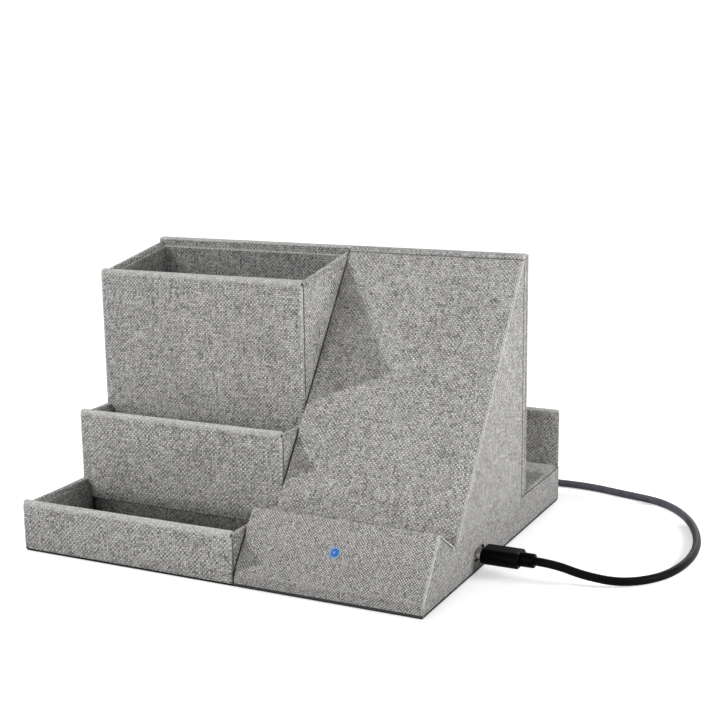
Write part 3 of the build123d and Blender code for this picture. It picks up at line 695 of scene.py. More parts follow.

# %% [markdown]
# ## Plastics, metals, card and the cord
# Each finish names its two colours, first the clean one and then the worn or dusty one. Below them stand its
# roughness, its shares of specks, clouds and drawn marks, and the height of the grain in millimetres.
# The cord's jacket is a satin black rubber, the plug's grip a harder black plastic. Away from the camera
# the jacket looks greyer in the photograph, so pale painted light comes over it from front to back.

# %% Materials: the smaller parts
cord_jacket = grained_finish(
    "cord_jacket", (0.002, 0.002, 0.003), (0.006, 0.006, 0.007),
    0.42, (0.4, 0.4, 0.2), 0.012, gloss=0.025)
grip_plastic = grained_finish(
    "grip_plastic", (0.0008, 0.0008, 0.0016), (0.0030, 0.0030, 0.0045),
    0.26, (0.7, 0.2, 0.1), 0.012, fineness=1.6, gloss=0.02)
plug_steel = grained_finish(
    "plug_steel", (0.62, 0.61, 0.59), (0.48, 0.47, 0.46),
    0.38, (0.2, 0.3, 0.5), 0.004, metallic=1.0)
contact_gold = grained_finish(
    "contact_gold", (0.90, 0.66, 0.28), (0.72, 0.50, 0.20),
    0.28, (0.3, 0.4, 0.3), 0.004, metallic=1.0)
black_sheet = grained_finish(
    "black_sheet", (0.006, 0.006, 0.006), (0.022, 0.021, 0.021),
    0.85, (0.8, 0.2, 0.0), 0.06, gloss=0.2)
moulded_black = grained_finish(
    "moulded_black", (0.008, 0.008, 0.009), (0.022, 0.022, 0.023),
    0.6, (0.6, 0.3, 0.1), 0.03)
grey_card = grained_finish(
    "grey_card", (0.30, 0.28, 0.25), (0.46, 0.44, 0.40),
    0.92, (0.5, 0.3, 0.3), 0.04, fineness=0.5)
zinc_screw = grained_finish(
    "zinc_screw", (0.62, 0.62, 0.60), (0.42, 0.42, 0.41),
    0.34, (0.4, 0.3, 0.3), 0.01, metallic=1.0)
coated_copper = grained_finish(
    "coated_copper", (0.52, 0.17, 0.06), (0.70, 0.32, 0.14),
    0.30, (0.2, 0.4, 0.4), 0.02, metallic=0.9, coat=0.4)
ferrite_grey = grained_finish(
    "ferrite_grey", (0.035, 0.034, 0.033), (0.075, 0.073, 0.070),
    0.7, (0.8, 0.2, 0.0), 0.03)
board_green = grained_finish(
    "board_green", (0.010, 0.085, 0.035), (0.030, 0.160, 0.070),
    0.35, (0.2, 0.2, 0.7), 0.03, fineness=0.35, coat=0.5)
chip_resin = grained_finish(
    "chip_resin", (0.012, 0.012, 0.013), (0.040, 0.040, 0.040),
    0.6, (0.8, 0.2, 0.0), 0.02)
tan_ceramic = grained_finish(
    "tan_ceramic", (0.42, 0.30, 0.17), (0.58, 0.45, 0.30),
    0.45, (0.5, 0.5, 0.0), 0.02)
strap_pile = grained_finish(
    "strap_pile", (0.008, 0.008, 0.009), (0.050, 0.050, 0.052),
    1.0, (0.9, 0.1, 0.1), 0.25, fineness=0.7, sheen=0.3)
wire_jacket = grained_finish(
    "wire_jacket", (0.40, 0.020, 0.015), (0.55, 0.060, 0.040),
    0.4, (0.3, 0.5, 0.2), 0.01)

# Painted light on the cord: its jacket is painted paler towards the back
painted_light_grey, painted_light_share = (0.155, 0.160, 0.185), 0.52
painted_light_from, painted_light_full = 5 * MM, 80 * MM
paint_light_to_back(cord_jacket, painted_light_from, painted_light_full, painted_light_grey, painted_light_share)
print("materials", len(bpy.data.materials))

# %% [markdown]
# The light is a clear rod with a lamp behind it. Real light through glass would be noisy, so the rod's own
# surface glows: deep blue, with a paler spot over the lamp.

# %% Material: the light


def light_finish(name, middle):
    """Clear plastic lit from behind: a deep colour with a paler spot over the lamp."""
    material, tree, skin = new_material(name)
    place = add_node(tree, "ShaderNodeTexCoord").outputs["Object"]
    grain = use_group(tree, grain_group, Place=place, Fineness=1.0)
    spot = spread(tree, vector_maths(tree, "DISTANCE", place, middle), 0.15 * MM, 0.75 * MM, 1.0, 0.0)
    spot = maths(tree, "MULTIPLY_ADD", grain.outputs["Speck"], 0.12, spot)
    glow = blend_colours(tree, maths(tree, "MINIMUM", spot, 1.0), LAMP_BLUE, LAMP_LILAC)
    feed(tree, glow, skin.inputs["Emission Color"])
    set_values(skin, Emission_Strength=1.0, Base_Color=(0.005, 0.015, 0.03, 1), Specular_IOR_Level=0.15)
    feed(tree, spread(tree, grain.outputs["Cloud"], 0, 1, 0.35, 0.55), skin.inputs["Roughness"])
    return material


print("light finish ready")

# %% [markdown]
# ## The charging cord
# The route and the jacket are both known now. The free stretch, the coil and the tail are one curve, so
# there is no seam between them, and it stands for the three parts of the cord in the CAD model.

# %% Charging cord
charging_cord = round_curve("charging_cord", [cord_route], cord_radius, cord_jacket, "cord_set",
                            ["cord_lead", "cord_coil", "cord_tail"])

# %% [markdown]
# ## Tools for wrapped boards
# Every wall of the organizer is a board with cloth wrapped over its edges. It could be a plain block with
# a bevel, but then the cloth would look machined. A board here starts as a flat outline of a few vertices
# and is pushed out to its thickness, so that a stepped or folded side is as easy as a square one.

# %% Forms of boards
NEAR = 0.02 * MM
SAME_PLACE = 1e-7
AXES = {"X": 0, "Y": 1, "Z": 2}


def on_axis(axis, along, a, b):
    """A point from its place along an axis and its two other coordinates, in their usual order."""
    point = [a, b]
    point.insert(AXES[axis], along)
    return Vector(point)


def rectangle(low, high, top, bottom=0):
    """Corners of a rectangle in the order up, across and down, from its lower left."""
    return [(low, bottom), (low, top), (high, top), (high, bottom)]


def face_outwards(form):
    """Turns every face of a closed form outwards."""
    bmesh.ops.recalc_face_normals(form, faces=form.faces[:])


def push_form(form, way):
    """Pushes the faces of a flat form along a way, which gives it its thickness."""
    pushed = bmesh.ops.extrude_face_region(form, geom=form.faces[:])
    moved = [v for v in pushed["geom"] if isinstance(v, bmesh.types.BMVert)]
    bmesh.ops.translate(form, verts=moved, vec=way)
    face_outwards(form)


def outline_board(points, axis, start, length):
    """A board cut to a flat outline, with its thickness along an axis."""
    form = bmesh.new()
    form.faces.new([form.verts.new(on_axis(axis, start, a, b)) for a, b in points])
    push_form(form, on_axis(axis, length, 0, 0))
    form.verts.layers.float.new("fold")
    form.verts.layers.float.new("cut")
    return form


def box_board(low, high):
    """A board with square corners, between two opposite corners."""
    low, high = Vector(low), Vector(high)
    return outline_board(rectangle(low.y, high.y, high.z, low.z), "X", low.x, high.x - low.x)


print("board forms ready")

# %% [markdown]
# Where the cloth folds over an edge, the edge is bevelled. The new verts are marked as a fold, for the
# shader's pale fibres, which stand for wear and a painted highlight. Verts on the border of the bevel stay
# unmarked, so the mark fades out there.

# %% Folds
FOLD_RADIUS = 1.25 * MM
FOLD_STEPS = 5


def round_edges(form, chosen, radius=FOLD_RADIUS, steps=FOLD_STEPS, wear_and_highlight=0.4, held=True):
    """Rounds the edges for which chosen(middle, direction) is true, and marks how pale the fold is, for wear
    and painted highlight.

    The radius is held back where edges are short, unless held is off, as for an outline with arcs in it.
    """
    edges = []
    for edge in form.edges:
        ends = [v.co for v in edge.verts]
        if chosen((ends[0] + ends[1]) / 2, (ends[1] - ends[0]).normalized()):
            edges.append(edge)
    made = bmesh.ops.bevel(form, geom=edges, offset=radius, offset_type="OFFSET", affect="EDGES",
                           segments=steps, profile=0.5, material=-1, clamp_overlap=held)
    layer = form.verts.layers.float["fold"]
    rounded = set(made["faces"])
    for vert in made["verts"]:
        if rounded.issuperset(vert.link_faces):
            # Wear and painted highlight on the fold
            vert[layer] = wear_and_highlight


print("fold radius", round(FOLD_RADIUS / MM, 2), "mm")

# %% [markdown]
# Glued cloth is never quite flat. The form is cut into a grid, and its verts move in and out by a smooth
# noise. A bump in the shader would do it too, but it leaves the outline dead straight.

# %% Grid and unevenness


def slice_form(form, place, way):
    """Cuts new edges all round a form where a plane crosses it."""
    bmesh.ops.bisect_plane(form, geom=form.verts[:] + form.edges[:] + form.faces[:], dist=SAME_PLACE,
                           plane_co=place, plane_no=way)


def cut_grid(form, pitch):
    """Cuts a form by planes at an even pitch, so that it can bend and be made uneven."""
    for axis in range(3):
        low = min(v.co[axis] for v in form.verts)
        high = max(v.co[axis] for v in form.verts)
        count = int((high - low) / pitch)
        normal = Vector((axis == 0, axis == 1, axis == 2))
        for number in range(1, count + 1):
            slice_form(form, normal * (low + (high - low) * number / (count + 1)), normal)


def make_uneven(form, amount, size=18 * MM):
    """Moves the surface in and out a little, along its normals."""
    form.normal_update()
    for vert in form.verts:
        swell = noise.noise(vert.co / size) + 0.5 * noise.noise(vert.co / (size / 4))
        vert.co += vert.normal * (swell * amount)


print("surface tools ready")

# %% [markdown]
# At a corner the cloth is tucked together, which leaves a small pit. The mesh is made finer there only, and
# the pit is pressed in and painted dark as shade. A fine line of painted shade round a form is marked on
# verts that two pairs of cuts make.

# %% Tucks and dark lines
TUCK_EDGE = 0.3 * MM


def press_tucks(form, places, width=1.3 * MM, depth=0.5 * MM):
    """Presses in the small pits where the cloth is tucked together at a corner, and paints shade in them."""
    layer = form.verts.layers.float["cut"]
    for place in places:
        for _ in range(2):
            close = [e for e in form.edges if e.calc_length() > TUCK_EDGE
                     and ((e.verts[0].co + e.verts[1].co) / 2 - place).length < 2.5 * width]
            bmesh.ops.subdivide_edges(form, edges=close, cuts=2, use_grid_fill=True)
        form.normal_update()
        for vert in form.verts:
            reach = (vert.co - place).length / width
            if reach < 1:
                fall = (1 - reach ** 2) ** 2
                vert.co -= vert.normal * (depth * fall)
                # The pit is painted dark as shade
                vert[layer] = max(vert[layer], min(1.0, 1.6 * fall))


def dark_line(form, place, way, half=0.2 * MM, strength=0.6):
    """Marks a fine line of painted shade round a form where a plane cuts it, with soft sides."""
    place, way = Vector(place), Vector(way).normalized()
    for share in (-2, -1, 1, 2):
        slice_form(form, place + way * half * share, way)
    layer = form.verts.layers.float["cut"]
    for vert in form.verts:
        if abs((vert.co - place).dot(way)) < half * 1.5:
            # Painted shade along the line
            vert[layer] = strength


print("finest edge at a tuck", round(TUCK_EDGE / MM, 2), "mm")

# %% [markdown]
# The cloth's UV map is in metres. On flat faces across the board's axis it is the plain position.
# Round the board it is the way along the outline, so threads run over a fold without a break.
# An automatic unwrap would cut the cloth into islands and turn the threads in each of them.

# %% Cloth map


def way_along(outline, a, b):
    """How far along a closed outline its point nearest to (a, b) lies, and the outline's whole length."""
    here = Vector((a, b))
    best, best_gap, walked = 0.0, 1e9, 0.0
    for first, second in zip(outline, outline[1:] + outline[:1]):
        first, second = Vector(first), Vector(second)
        run = second - first
        share = max(0.0, min(1.0, (here - first).dot(run) / run.length_squared))
        gap = (first + run * share - here).length
        if gap < best_gap:
            best, best_gap = walked + run.length * share, gap
        walked += run.length
    return best, walked


def lay_cloth(form, axis, outline):
    """Writes the cloth map: plain on the flat sides, and wrapped round the outline elsewhere."""
    layer = form.loops.layers.uv.new("cloth")
    number = AXES[axis]
    others = [n for n in range(3) if n != number]
    form.normal_update()
    for face in form.faces:
        if abs(face.normal[number]) > 0.7:
            for loop in face.loops:
                loop[layer].uv = (loop.vert.co[others[0]], loop.vert.co[others[1]])
            continue
        middle = face.calc_center_median()
        centre_way, whole = way_along(outline, middle[others[0]], middle[others[1]])
        for loop in face.loops:
            at = loop.vert.co
            way, _ = way_along(outline, at[others[0]], at[others[1]])
            if way - centre_way > whole / 2:
                way -= whole
            elif centre_way - way > whole / 2:
                way += whole
            loop[layer].uv = (at[number], way)


print("cloth map ready")

# %% [markdown]
# Each form ends as an object with one material. Its normals are weighted by face size, so that large faces
# stay flat and only the narrow folds look round. It rides on a body and replaces the nodes it covers.

# %% Finished pieces


def finish_piece(form, name, finish, body="organizer", replaced=(), smooth=True):
    """Turns a form into a piece of the scene that rides on a body."""
    mesh = bpy.data.meshes.new(name)
    form.to_mesh(mesh)
    form.free()
    for polygon in mesh.polygons:
        polygon.use_smooth = smooth
    mesh.materials.append(finish)
    piece = put_in(name, mesh)
    if smooth:
        even = piece.modifiers.new("even_shading", "WEIGHTED_NORMAL")
        even.keep_sharp = False
    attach(piece, body)
    if replaced:
        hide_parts(*replaced)
    print(name, "faces", len(mesh.polygons))
    return piece


def wrapped_board(name, form, axis, outline, replaced, finish,
                  pitch=6 * MM, unevenness=0.06 * MM, tucks=()):
    """Grid, unevenness, tucked corners, cloth map and finish of one wrapped board."""
    cut_grid(form, pitch)
    make_uneven(form, unevenness)
    press_tucks(form, tucks)
    lay_cloth(form, axis, outline)
    return finish_piece(form, name, finish, replaced=replaced)


print("piece tools ready")

# %% [markdown]
# ## Sizes that several boards share
# These are the organizer's own sizes, in the same frame as the CAD model. All the boards are worked out
# from them, so that neighbouring pieces meet.

# %% Shared sizes
left, right = -89.0 * MM, 89.0 * MM
front, rear = -76.25 * MM, 76.25 * MM
stand_left = right - 78.1 * MM
caddy_right = stand_left - 0.4 * MM
board = 2.7 * MM
facing = 0.3 * MM
note_y = front + 40.0 * MM
cup_y = note_y + 19.5 * MM
back_y = front + 108.2 * MM
back_front = back_y - board
left_panel_x = left + facing
caddy_panel_x = caddy_right - facing - board
right_panel_x = right - facing - board
tray_top, note_top, cup_top = 21.4 * MM, 50.2 * MM, 108.2 * MM
rim_step = 1.5 * MM
back_top = 117.0 * MM
slot_top = 17.0 * MM
sheet_top = 0.7 * MM
foot_z = 1.6 * MM
slot_under = slot_top - board
rear_wall_top = 42.0 * MM
tray_rim, note_rim, cup_rim = tray_top - rim_step, note_top - rim_step, cup_top - rim_step
print("caddy", round((caddy_right - left) / MM, 1), "mm wide, stand", round((right - stand_left) / MM, 1))


# %% [markdown]
# ## Front panels of the three compartments
# Each front panel is one wrapped board. The cloth is folded over the top and round both ends, so all the
# edges of the outer face and the top are rounded. The taller two stand between the side panels below their
# rim and lap over them above it. That needs an outline with shoulders, and no boolean.

# %% Outlines of cross panels
CORNER_RADIUS = 1.7 * MM


def lapped_outline(low, shoulder, top, inner_left, inner_right, outer_left, outer_right):
    """Outline of a cross panel, which is wider above its shoulder."""
    return [
        (inner_left, low), (inner_left, shoulder), (outer_left, shoulder), (outer_left, top),
        (outer_right, top), (outer_right, shoulder), (inner_right, shoulder), (inner_right, low),
    ]


def rounded_corners(points, chosen, radius, steps=5):
    """Replaces the chosen corners of an outline by arcs."""
    made = []
    for number, point in enumerate(points):
        if number not in chosen:
            made.append(point)
            continue
        here = Vector(point)
        before = (Vector(points[number - 1]) - here).normalized() * radius
        after = (Vector(points[(number + 1) % len(points)]) - here).normalized() * radius
        for step in range(steps + 1):
            angle = pi / 2 * step / steps
            made.append(tuple(here + before * (1 - sin(angle)) + after * (1 - cos(angle))))
    return made


print("corner radius", round(CORNER_RADIUS / MM, 2), "mm")

# %% [markdown]
# The upper edge of a front panel is the one that hands rub most, and it catches the light from above. Its
# cloth is paler in the photograph, painted as wear and highlight together, and the paleness fades out over a
# few millimetres. Two cuts give the mesh verts to carry that fade.

# %% Front panels
TOP_PALE_REACH, TOP_WEAR_AND_HIGHLIGHT = 2.7 * MM, 0.65
TUCK_IN, TUCK_DOWN = 1.1 * MM, 1.6 * MM
PANEL_LAP = 8 * MM
FOOT_FADE = 4 * MM


def paint_top_highlight(form, top, reach, wear_and_highlight):
    """Paints the cloth pale along the upper edge, as wear and highlight, more and more towards the fold."""
    form.normal_update()
    for depth in (reach, reach * 0.7):
        slice_form(form, (0, 0, top - depth), (0, 0, 1))
    layer = form.verts.layers.float["fold"]
    for vert in form.verts:
        share = 1 - (top - vert.co.z) / reach
        if share > 0:
            vert[layer] = max(vert[layer], wear_and_highlight * min(1.0, share * 3))


def front_panel(name, node, y_low, top, shoulder, finish):
    """Wrapped cross panel in front of a compartment, with a tuck at each upper corner."""
    low_x, high_x = left_panel_x, caddy_right - facing
    if shoulder > sheet_top:
        points = lapped_outline(shoulder - PANEL_LAP, shoulder, top, left_panel_x + board, caddy_panel_x,
                                low_x, high_x)
        points = rounded_corners(points, (3, 4), CORNER_RADIUS)
    else:
        points = rounded_corners(rectangle(low_x, high_x, top, sheet_top), (0, 1, 2), CORNER_RADIUS)
    form = outline_board(points, "Y", y_low, board)

    def folded(middle, way):
        """True for the outer edges above the shoulder, and for all upper ones."""
        above = middle.z > shoulder + NEAR or shoulder <= sheet_top
        return above and (abs(middle.y - y_low) < NEAR or middle.z > top - NEAR)

    round_edges(form, folded, wear_and_highlight=0.6, held=False)
    layer = form.verts.layers.float["fold"]
    for vert in form.verts:
        vert[layer] *= max(0.0, min(1.0, (vert.co.z - sheet_top - FOLD_RADIUS) / FOOT_FADE))
    # Painted highlight and wear along the top fold
    paint_top_highlight(form, top, TOP_PALE_REACH, TOP_WEAR_AND_HIGHLIGHT)
    tucks = [Vector((x, y_low + TUCK_IN, top - TUCK_DOWN)) for x in (low_x, high_x)]
    wrapped_board(name, form, "X", rectangle(y_low, y_low + board, top), [node], finish, tucks=tucks)


front_panel("tray_front_board", "tray_front_panel", front, tray_top, sheet_top, caddy_cloth)
front_panel("note_front_board", "note_front_panel", note_y, note_top, tray_rim, caddy_cloth)
front_panel("cup_front_board", "cup_front_panel", cup_y, cup_top, note_rim, cup_cloth)

# %% [markdown]
# ## Side panels of the compartments
# A side panel steps up from the tray to the note box and the tall cup, whose rim slopes up to the back.
# The cloth is folded over the stepped rim. One outline makes the whole step, as one cut board does.

# %% Side panels


def cup_rim_at(y):
    """Height of the tall cup's side rim."""
    share = (y - cup_y) / (back_y - cup_y)
    return cup_rim + share * (back_top - rim_step - cup_rim)


def stepped_outline(front_y, set_back, end_y, end_z, low):
    """Stepped side of the caddy, from its front to the tall cup's back."""
    return [
        (front_y, low), (front_y, tray_rim),
        (note_y + set_back, tray_rim), (note_y + set_back, note_rim),
        (cup_y + set_back, note_rim), (cup_y + set_back, cup_rim_at(cup_y + set_back)),
        (end_y, cup_rim_at(end_y)), (end_y, end_z),
    ]


def rim_edge(middle, way):
    """True for an edge of a side panel's upper rim."""
    return abs(way.y) > 0.8 and middle.z > slot_top


def side_panel(name, node, points, x_low):
    """Wrapped side board with a folded rim."""
    form = outline_board(points, "X", x_low, board)
    round_edges(form, rim_edge, wear_and_highlight=0.7)
    wrapped_board(name, form, "X", points, [node], caddy_cloth)


left_points = stepped_outline(front + board, board, back_front, slot_under, sheet_top)
left_points += [(rear - board, slot_under), (rear - board, sheet_top)]
side_panel("left_side_board", "left_side_panel", left_points, left_panel_x)
short_points = stepped_outline(front + board, board, back_front, sheet_top, sheet_top)
side_panel("caddy_right_board", "caddy_right_panel", short_points, caddy_panel_x)

# %% [markdown]
# ## Glued facings
# The outer side of each side panel is covered by a separate sheet of cloth, cut back a little from the
# folds. Its edge shows as a fine dark line of glue and painted shade. The sheet is the side's outline, inset,
# and its outer rim is bevelled down to the board. Where it has a hole for the socket, the two loops are
# filled between, which keeps the mesh clean where a boolean would leave slivers.

# %% Sheets and holes
FACING_INSET = 1.3 * MM
CUT_WIDTH = 0.3 * MM


def flat_sheet(form, points, x):
    """A flat face across the X axis, from an outline in Y and Z."""
    return form.faces.new([form.verts.new((x, a, b)) for a, b in points])


def stadium_loop(form, x, y, z, width, height, steps=16):
    """A closed loop of edges in the shape of a flat oval, across the X axis."""
    turned = Matrix.Translation((x, y, z)) @ Matrix.Rotation(radians(90), 4, "Y")
    ring = bmesh.ops.create_circle(form, cap_ends=False, segments=2 * steps, radius=height / 2, matrix=turned)
    for vert in ring["verts"]:
        vert.co.y += (1 if vert.co.y > y else -1) * (width - height) / 2
    return ring["verts"]


def inset_sheet(form, sheet, distance):
    """Insets one flat face by a distance, and returns the faces of the rim."""
    form.normal_update()
    return bmesh.ops.inset_region(form, faces=[sheet], thickness=distance, use_even_offset=True,
                                  use_boundary=True)["faces"]


def pierce(form, x, hole):
    """Opens a flat oval hole in a flat sheet."""
    bmesh.ops.delete(form, geom=form.faces[:], context="FACES_ONLY")
    stadium_loop(form, x, *hole)
    bmesh.ops.triangle_fill(form, edges=form.edges[:], use_beauty=True)


print("facings are cut back by", round(FACING_INSET / MM, 2), "mm")

# %% [markdown]
# A thin flat ring lies round each sheet, painted dark for the glue and the shade in the seam. On the runs
# where the light falls straight into the seam the painted shade is faint, or not seen at all. A list of runs,
# each with its strength, says where. Drawing the seam in the shader instead would need the outline there too.

# %% Seams and glue rings
GLUE_LINE = 0.3 * MM
GLUE_PROUD = 0.12 * MM
RING_PITCH = 1.5 * MM


def gap_to_run(run, a, b):
    """Distance from a point to the straight run between two others."""
    way = run[1] - run[0]
    here = Vector((a, b)) - run[0]
    share = max(0.0, min(1.0, here.dot(way) / way.length_squared))
    return (here - way * share).length


def seam_strength(seams, a, b):
    """How dark the seam's painted shade is at a point: 1, unless one of the runs in seams passes close by.

    A strength below zero stands for a pale, frayed edge with a painted highlight.
    """
    found = [(gap_to_run(run, a, b), strength) for run, strength in seams]
    near = [pair for pair in found if pair[0] < 1.3 * FACING_INSET]
    return min(near)[1] if near else 1.0


def mark_seam(form, seams, seen):
    """Writes the seam's marks on a form: painted shade by its strength, and a pale frayed highlight where
    that is below zero.
    """
    cut, fold = form.verts.layers.float["cut"], form.verts.layers.float["fold"]
    for vert in form.verts:
        strength = seam_strength(seams, vert.co.y, vert.co.z) if seen(vert) else 0.0
        # Painted shade of the seam; below zero, a pale frayed highlight instead
        vert[cut], vert[fold] = max(0.0, strength), max(0.0, -strength)


def glue_ring(points, x, outward, seams):
    """The ring round a facing, painted dark for glue and shade, as a form of its own."""
    form = bmesh.new()
    sheet = flat_sheet(form, points, x)
    outside = inset_sheet(form, sheet, FACING_INSET - GLUE_LINE)
    bmesh.ops.delete(form, geom=outside, context="FACES")
    inset_sheet(form, sheet, GLUE_LINE + CUT_WIDTH / 2)
    bmesh.ops.delete(form, geom=[sheet], context="FACES_ONLY")
    push_form(form, (outward * GLUE_PROUD, 0, 0))
    cut_grid(form, RING_PITCH)
    form.verts.layers.float.new("cut")
    form.verts.layers.float.new("fold")
    mark_seam(form, seams, lambda vert: True)
    lay_cloth(form, "X", points)
    return form


print("glue line", round(GLUE_LINE / MM, 2), "mm")

# %% [markdown]
# Now the sheet itself. Only its outer rim is bevelled, so the bevel picks the sharp edges on the outer face.
# The ring is added to the same mesh, because sheet and glue are one piece of the real object.

# %% Glued sheets
SHEET_PITCH = 6 * MM
SHEET_UNEVENNESS = 0.03 * MM


def glued_facing(name, node, points, x_outer, outward, finish, hole=None, seams=()):
    """A thin sheet of cloth on a side; outward is 1 on the right and -1 on the left."""
    x_glued = x_outer - outward * facing
    form = bmesh.new()
    sheet = flat_sheet(form, points, x_glued)
    bmesh.ops.delete(form, geom=inset_sheet(form, sheet, FACING_INSET), context="FACES")
    if hole:
        pierce(form, x_glued, hole)
    push_form(form, (outward * facing, 0, 0))
    form.verts.layers.float.new("fold")
    form.verts.layers.float.new("cut")

    edges = [e for e in form.edges if e.calc_face_angle(0) > 1
             and all(abs(v.co.x - x_outer) < NEAR for v in e.verts)]
    bmesh.ops.bevel(form, geom=edges, offset=CUT_WIDTH, offset_type="OFFSET", affect="EDGES",
                    segments=3, profile=0.5, material=-1, clamp_overlap=True)
    cut_grid(form, SHEET_PITCH)
    mark_seam(form, seams, lambda vert: abs(vert.co.x - x_outer) > NEAR)
    make_uneven(form, SHEET_UNEVENNESS)
    lay_cloth(form, "X", points)
    ring = glue_ring(points, x_glued, outward, seams)
    ring_data = bpy.data.meshes.new(name + "_glue")
    ring.to_mesh(ring_data)
    ring.free()
    form.from_mesh(ring_data)
    bpy.data.meshes.remove(ring_data)
    finish_piece(form, name, finish, replaced=[node])


print("sheet pitch", round(SHEET_PITCH / MM, 1), "mm")

# %% [markdown]
# The two outer sides of the compartments follow the stepped outline. Where the seam runs level it faces up
# into the light and nearly vanishes, so its strength is low there.

# %% Facings of the compartments
LEVEL_SEAM, UPRIGHT_SEAM = 0.2, 0.7


def rim_seams(points):
    """Seams along the runs of a rim, which catch the light: faint on the level ones."""
    seams = []
    for first, second in zip(points, points[1:]):
        run = (Vector(first), Vector(second))
        level = abs((run[1] - run[0]).normalized().x) > 0.8
        seams.append((run, LEVEL_SEAM if level else UPRIGHT_SEAM))
    return seams


low_edge = sheet_top - FACING_INSET
left_outer = stepped_outline(front, 0, back_y, slot_top, low_edge) + [(rear, slot_top), (rear, low_edge)]
glued_facing("left_facing_cloth", "left_side_facing", left_outer, left, -1, caddy_cloth,
             seams=rim_seams(left_outer))
short_outer = stepped_outline(front, 0, back_front + FACING_INSET, low_edge, low_edge)
glued_facing("caddy_facing_cloth", "caddy_right_facing", short_outer, caddy_right, 1, caddy_cloth,
             seams=rim_seams(short_outer))

# %% [markdown]
# ## The stand's profile
# The charging stand is drawn from the side, as points in (Y, Z): a short upright knee, the lip that leans
# back to a ridge, the shelf that dips behind it, and the backrest that climbs to the crest.
# The inner lines are the same ones, moved in by a board's thickness, and their crossings are the mitres.

# %% Points of the stand's side
knee_z = 5.0 * MM
foot = Vector((front, foot_z))
knee = Vector((front, knee_z))
ridge = Vector((front + 15.6 * MM, 27.0 * MM))
valley = ridge + Vector((15.1 * MM, -9.9 * MM))
crest_seat = Vector((back_front, back_top - 0.9 * MM))


def moved_in(first, second, distance=board):
    """A line moved to its right-hand side."""
    way = (second - first).normalized()
    side = Vector((way.y, -way.x)) * distance
    return first + side, second + side


def crossing(line, other):
    """Where two lines cross."""
    way, other_way = line[1] - line[0], other[1] - other[0]
    reach = (other[0] - line[0]).cross(other_way) / way.cross(other_way)
    return line[0] + way * reach


seat_line = crest_seat - valley
rest_angle = atan2(seat_line.y, seat_line.x) + asin(board / seat_line.length)
rest_way = Vector((cos(rest_angle), sin(rest_angle)))
crest = valley + rest_way * ((back_top - valley.y) / rest_way.y)
lip_inner, shelf_inner, rest_inner = moved_in(knee, ridge), moved_in(ridge, valley), moved_in(valley, crest)
inner_foot = foot + Vector((board, 0))
inner_knee = crossing((inner_foot, inner_foot + Vector((0, board))), lip_inner)
shelf_front = crossing(lip_inner, shelf_inner)
shelf_back = crossing(shelf_inner, (valley, crest))
rest_bottom = crossing(shelf_inner, rest_inner)
print("ridge", [round(n / MM, 1) for n in ridge], "valley", [round(n / MM, 1) for n in valley])

# %% [markdown]
# ## Lip, shelf and backrest
# One length of cloth runs from the foot over the knee and the ridge down into the valley, so the lip and the
# shelf are one piece here. The backrest is a second board that rises out of the valley. Which edges get a
# fold is told by their place, and two small functions make the tests for that.

# %% Choosing edges of the stand's boards
stand_end = right - facing


def pairs(points):
    """Plain number pairs."""
    return [(p.x, p.y) for p in points]


def at_corner(corner):
    """Chooser for the edges that run along X through a corner of the profile."""
    def chosen(middle, way):
        """True where the edge runs along X through the corner."""
        return abs(way.x) > 0.9 and abs(middle.y - corner.x) < NEAR and abs(middle.z - corner.y) < NEAR
    return chosen


def end_edge(side_x):
    """Chooser for the outer edges at one end of a long board."""
    def chosen(middle, way):
        """True where the edge lies in the end's face."""
        return abs(way.x) < 0.1 and abs(middle.x - side_x) < NEAR
    return chosen


print("stand is", round((stand_end - stand_left) / MM, 1), "mm wide without its facing")

# %% [markdown]
# Both ends of each board get small folds. The right one is worn pale, with a painted highlight. The left one
# is painted dark as shade in the slit beside the compartments, where hardly any light comes, and pale with a
# painted highlight where it stands free.

# %% Ends of the stand's boards
SLIT_WIDTH, SLIT_SOFT = 0.4 * MM, 0.4 * MM
SLIT_SHADE, FREE_END_WORN_HIGHLIGHT = 0.85, 0.7
LIT_FOOT = 3.4 * MM
END_FOLD, END_STEPS = 0.7 * MM, 4


def slit_marks(form):
    """Paints shade on the left end of a board in the slit, and a pale worn highlight where it stands free."""
    for y, z in ((note_y, tray_rim), (cup_y, note_rim)):
        for soft in (0, SLIT_SOFT):
            slice_form(form, (0, y - soft, 0), (0, 1, 0))
            slice_form(form, (0, 0, z - soft), (0, 0, 1))
    dark, worn = form.verts.layers.float["cut"], form.verts.layers.float["fold"]
    for vert in form.verts:
        x, y, z = vert.co
        if x > stand_left + SLIT_WIDTH or z < LIT_FOOT:
            continue
        rim = tray_rim if y < note_y - NEAR else note_rim if y < cup_y - NEAR else cup_rim_at(y)
        covered = z < rim - NEAR
        # Painted shade in the slit; a pale worn highlight where the end stands free
        vert[dark], vert[worn] = (SLIT_SHADE, 0.0) if covered else (0.0, FREE_END_WORN_HIGHLIGHT)


def finish_ends(form, wear_and_highlight):
    """Small folds at both ends of a board of the stand, and the marks of its left end."""
    round_edges(form, end_edge(stand_end), END_FOLD, END_STEPS, wear_and_highlight=wear_and_highlight)
    round_edges(form, end_edge(stand_left), END_FOLD, END_STEPS, wear_and_highlight=0)
    slit_marks(form)


print("end fold", round(END_FOLD / MM, 2), "mm")

# %% [markdown]
# The blue light comes through the lip a little over half way up. Its place is needed now, because the cloth
# round it is tinted by the light, and the tint is worked out from the distance to that place.

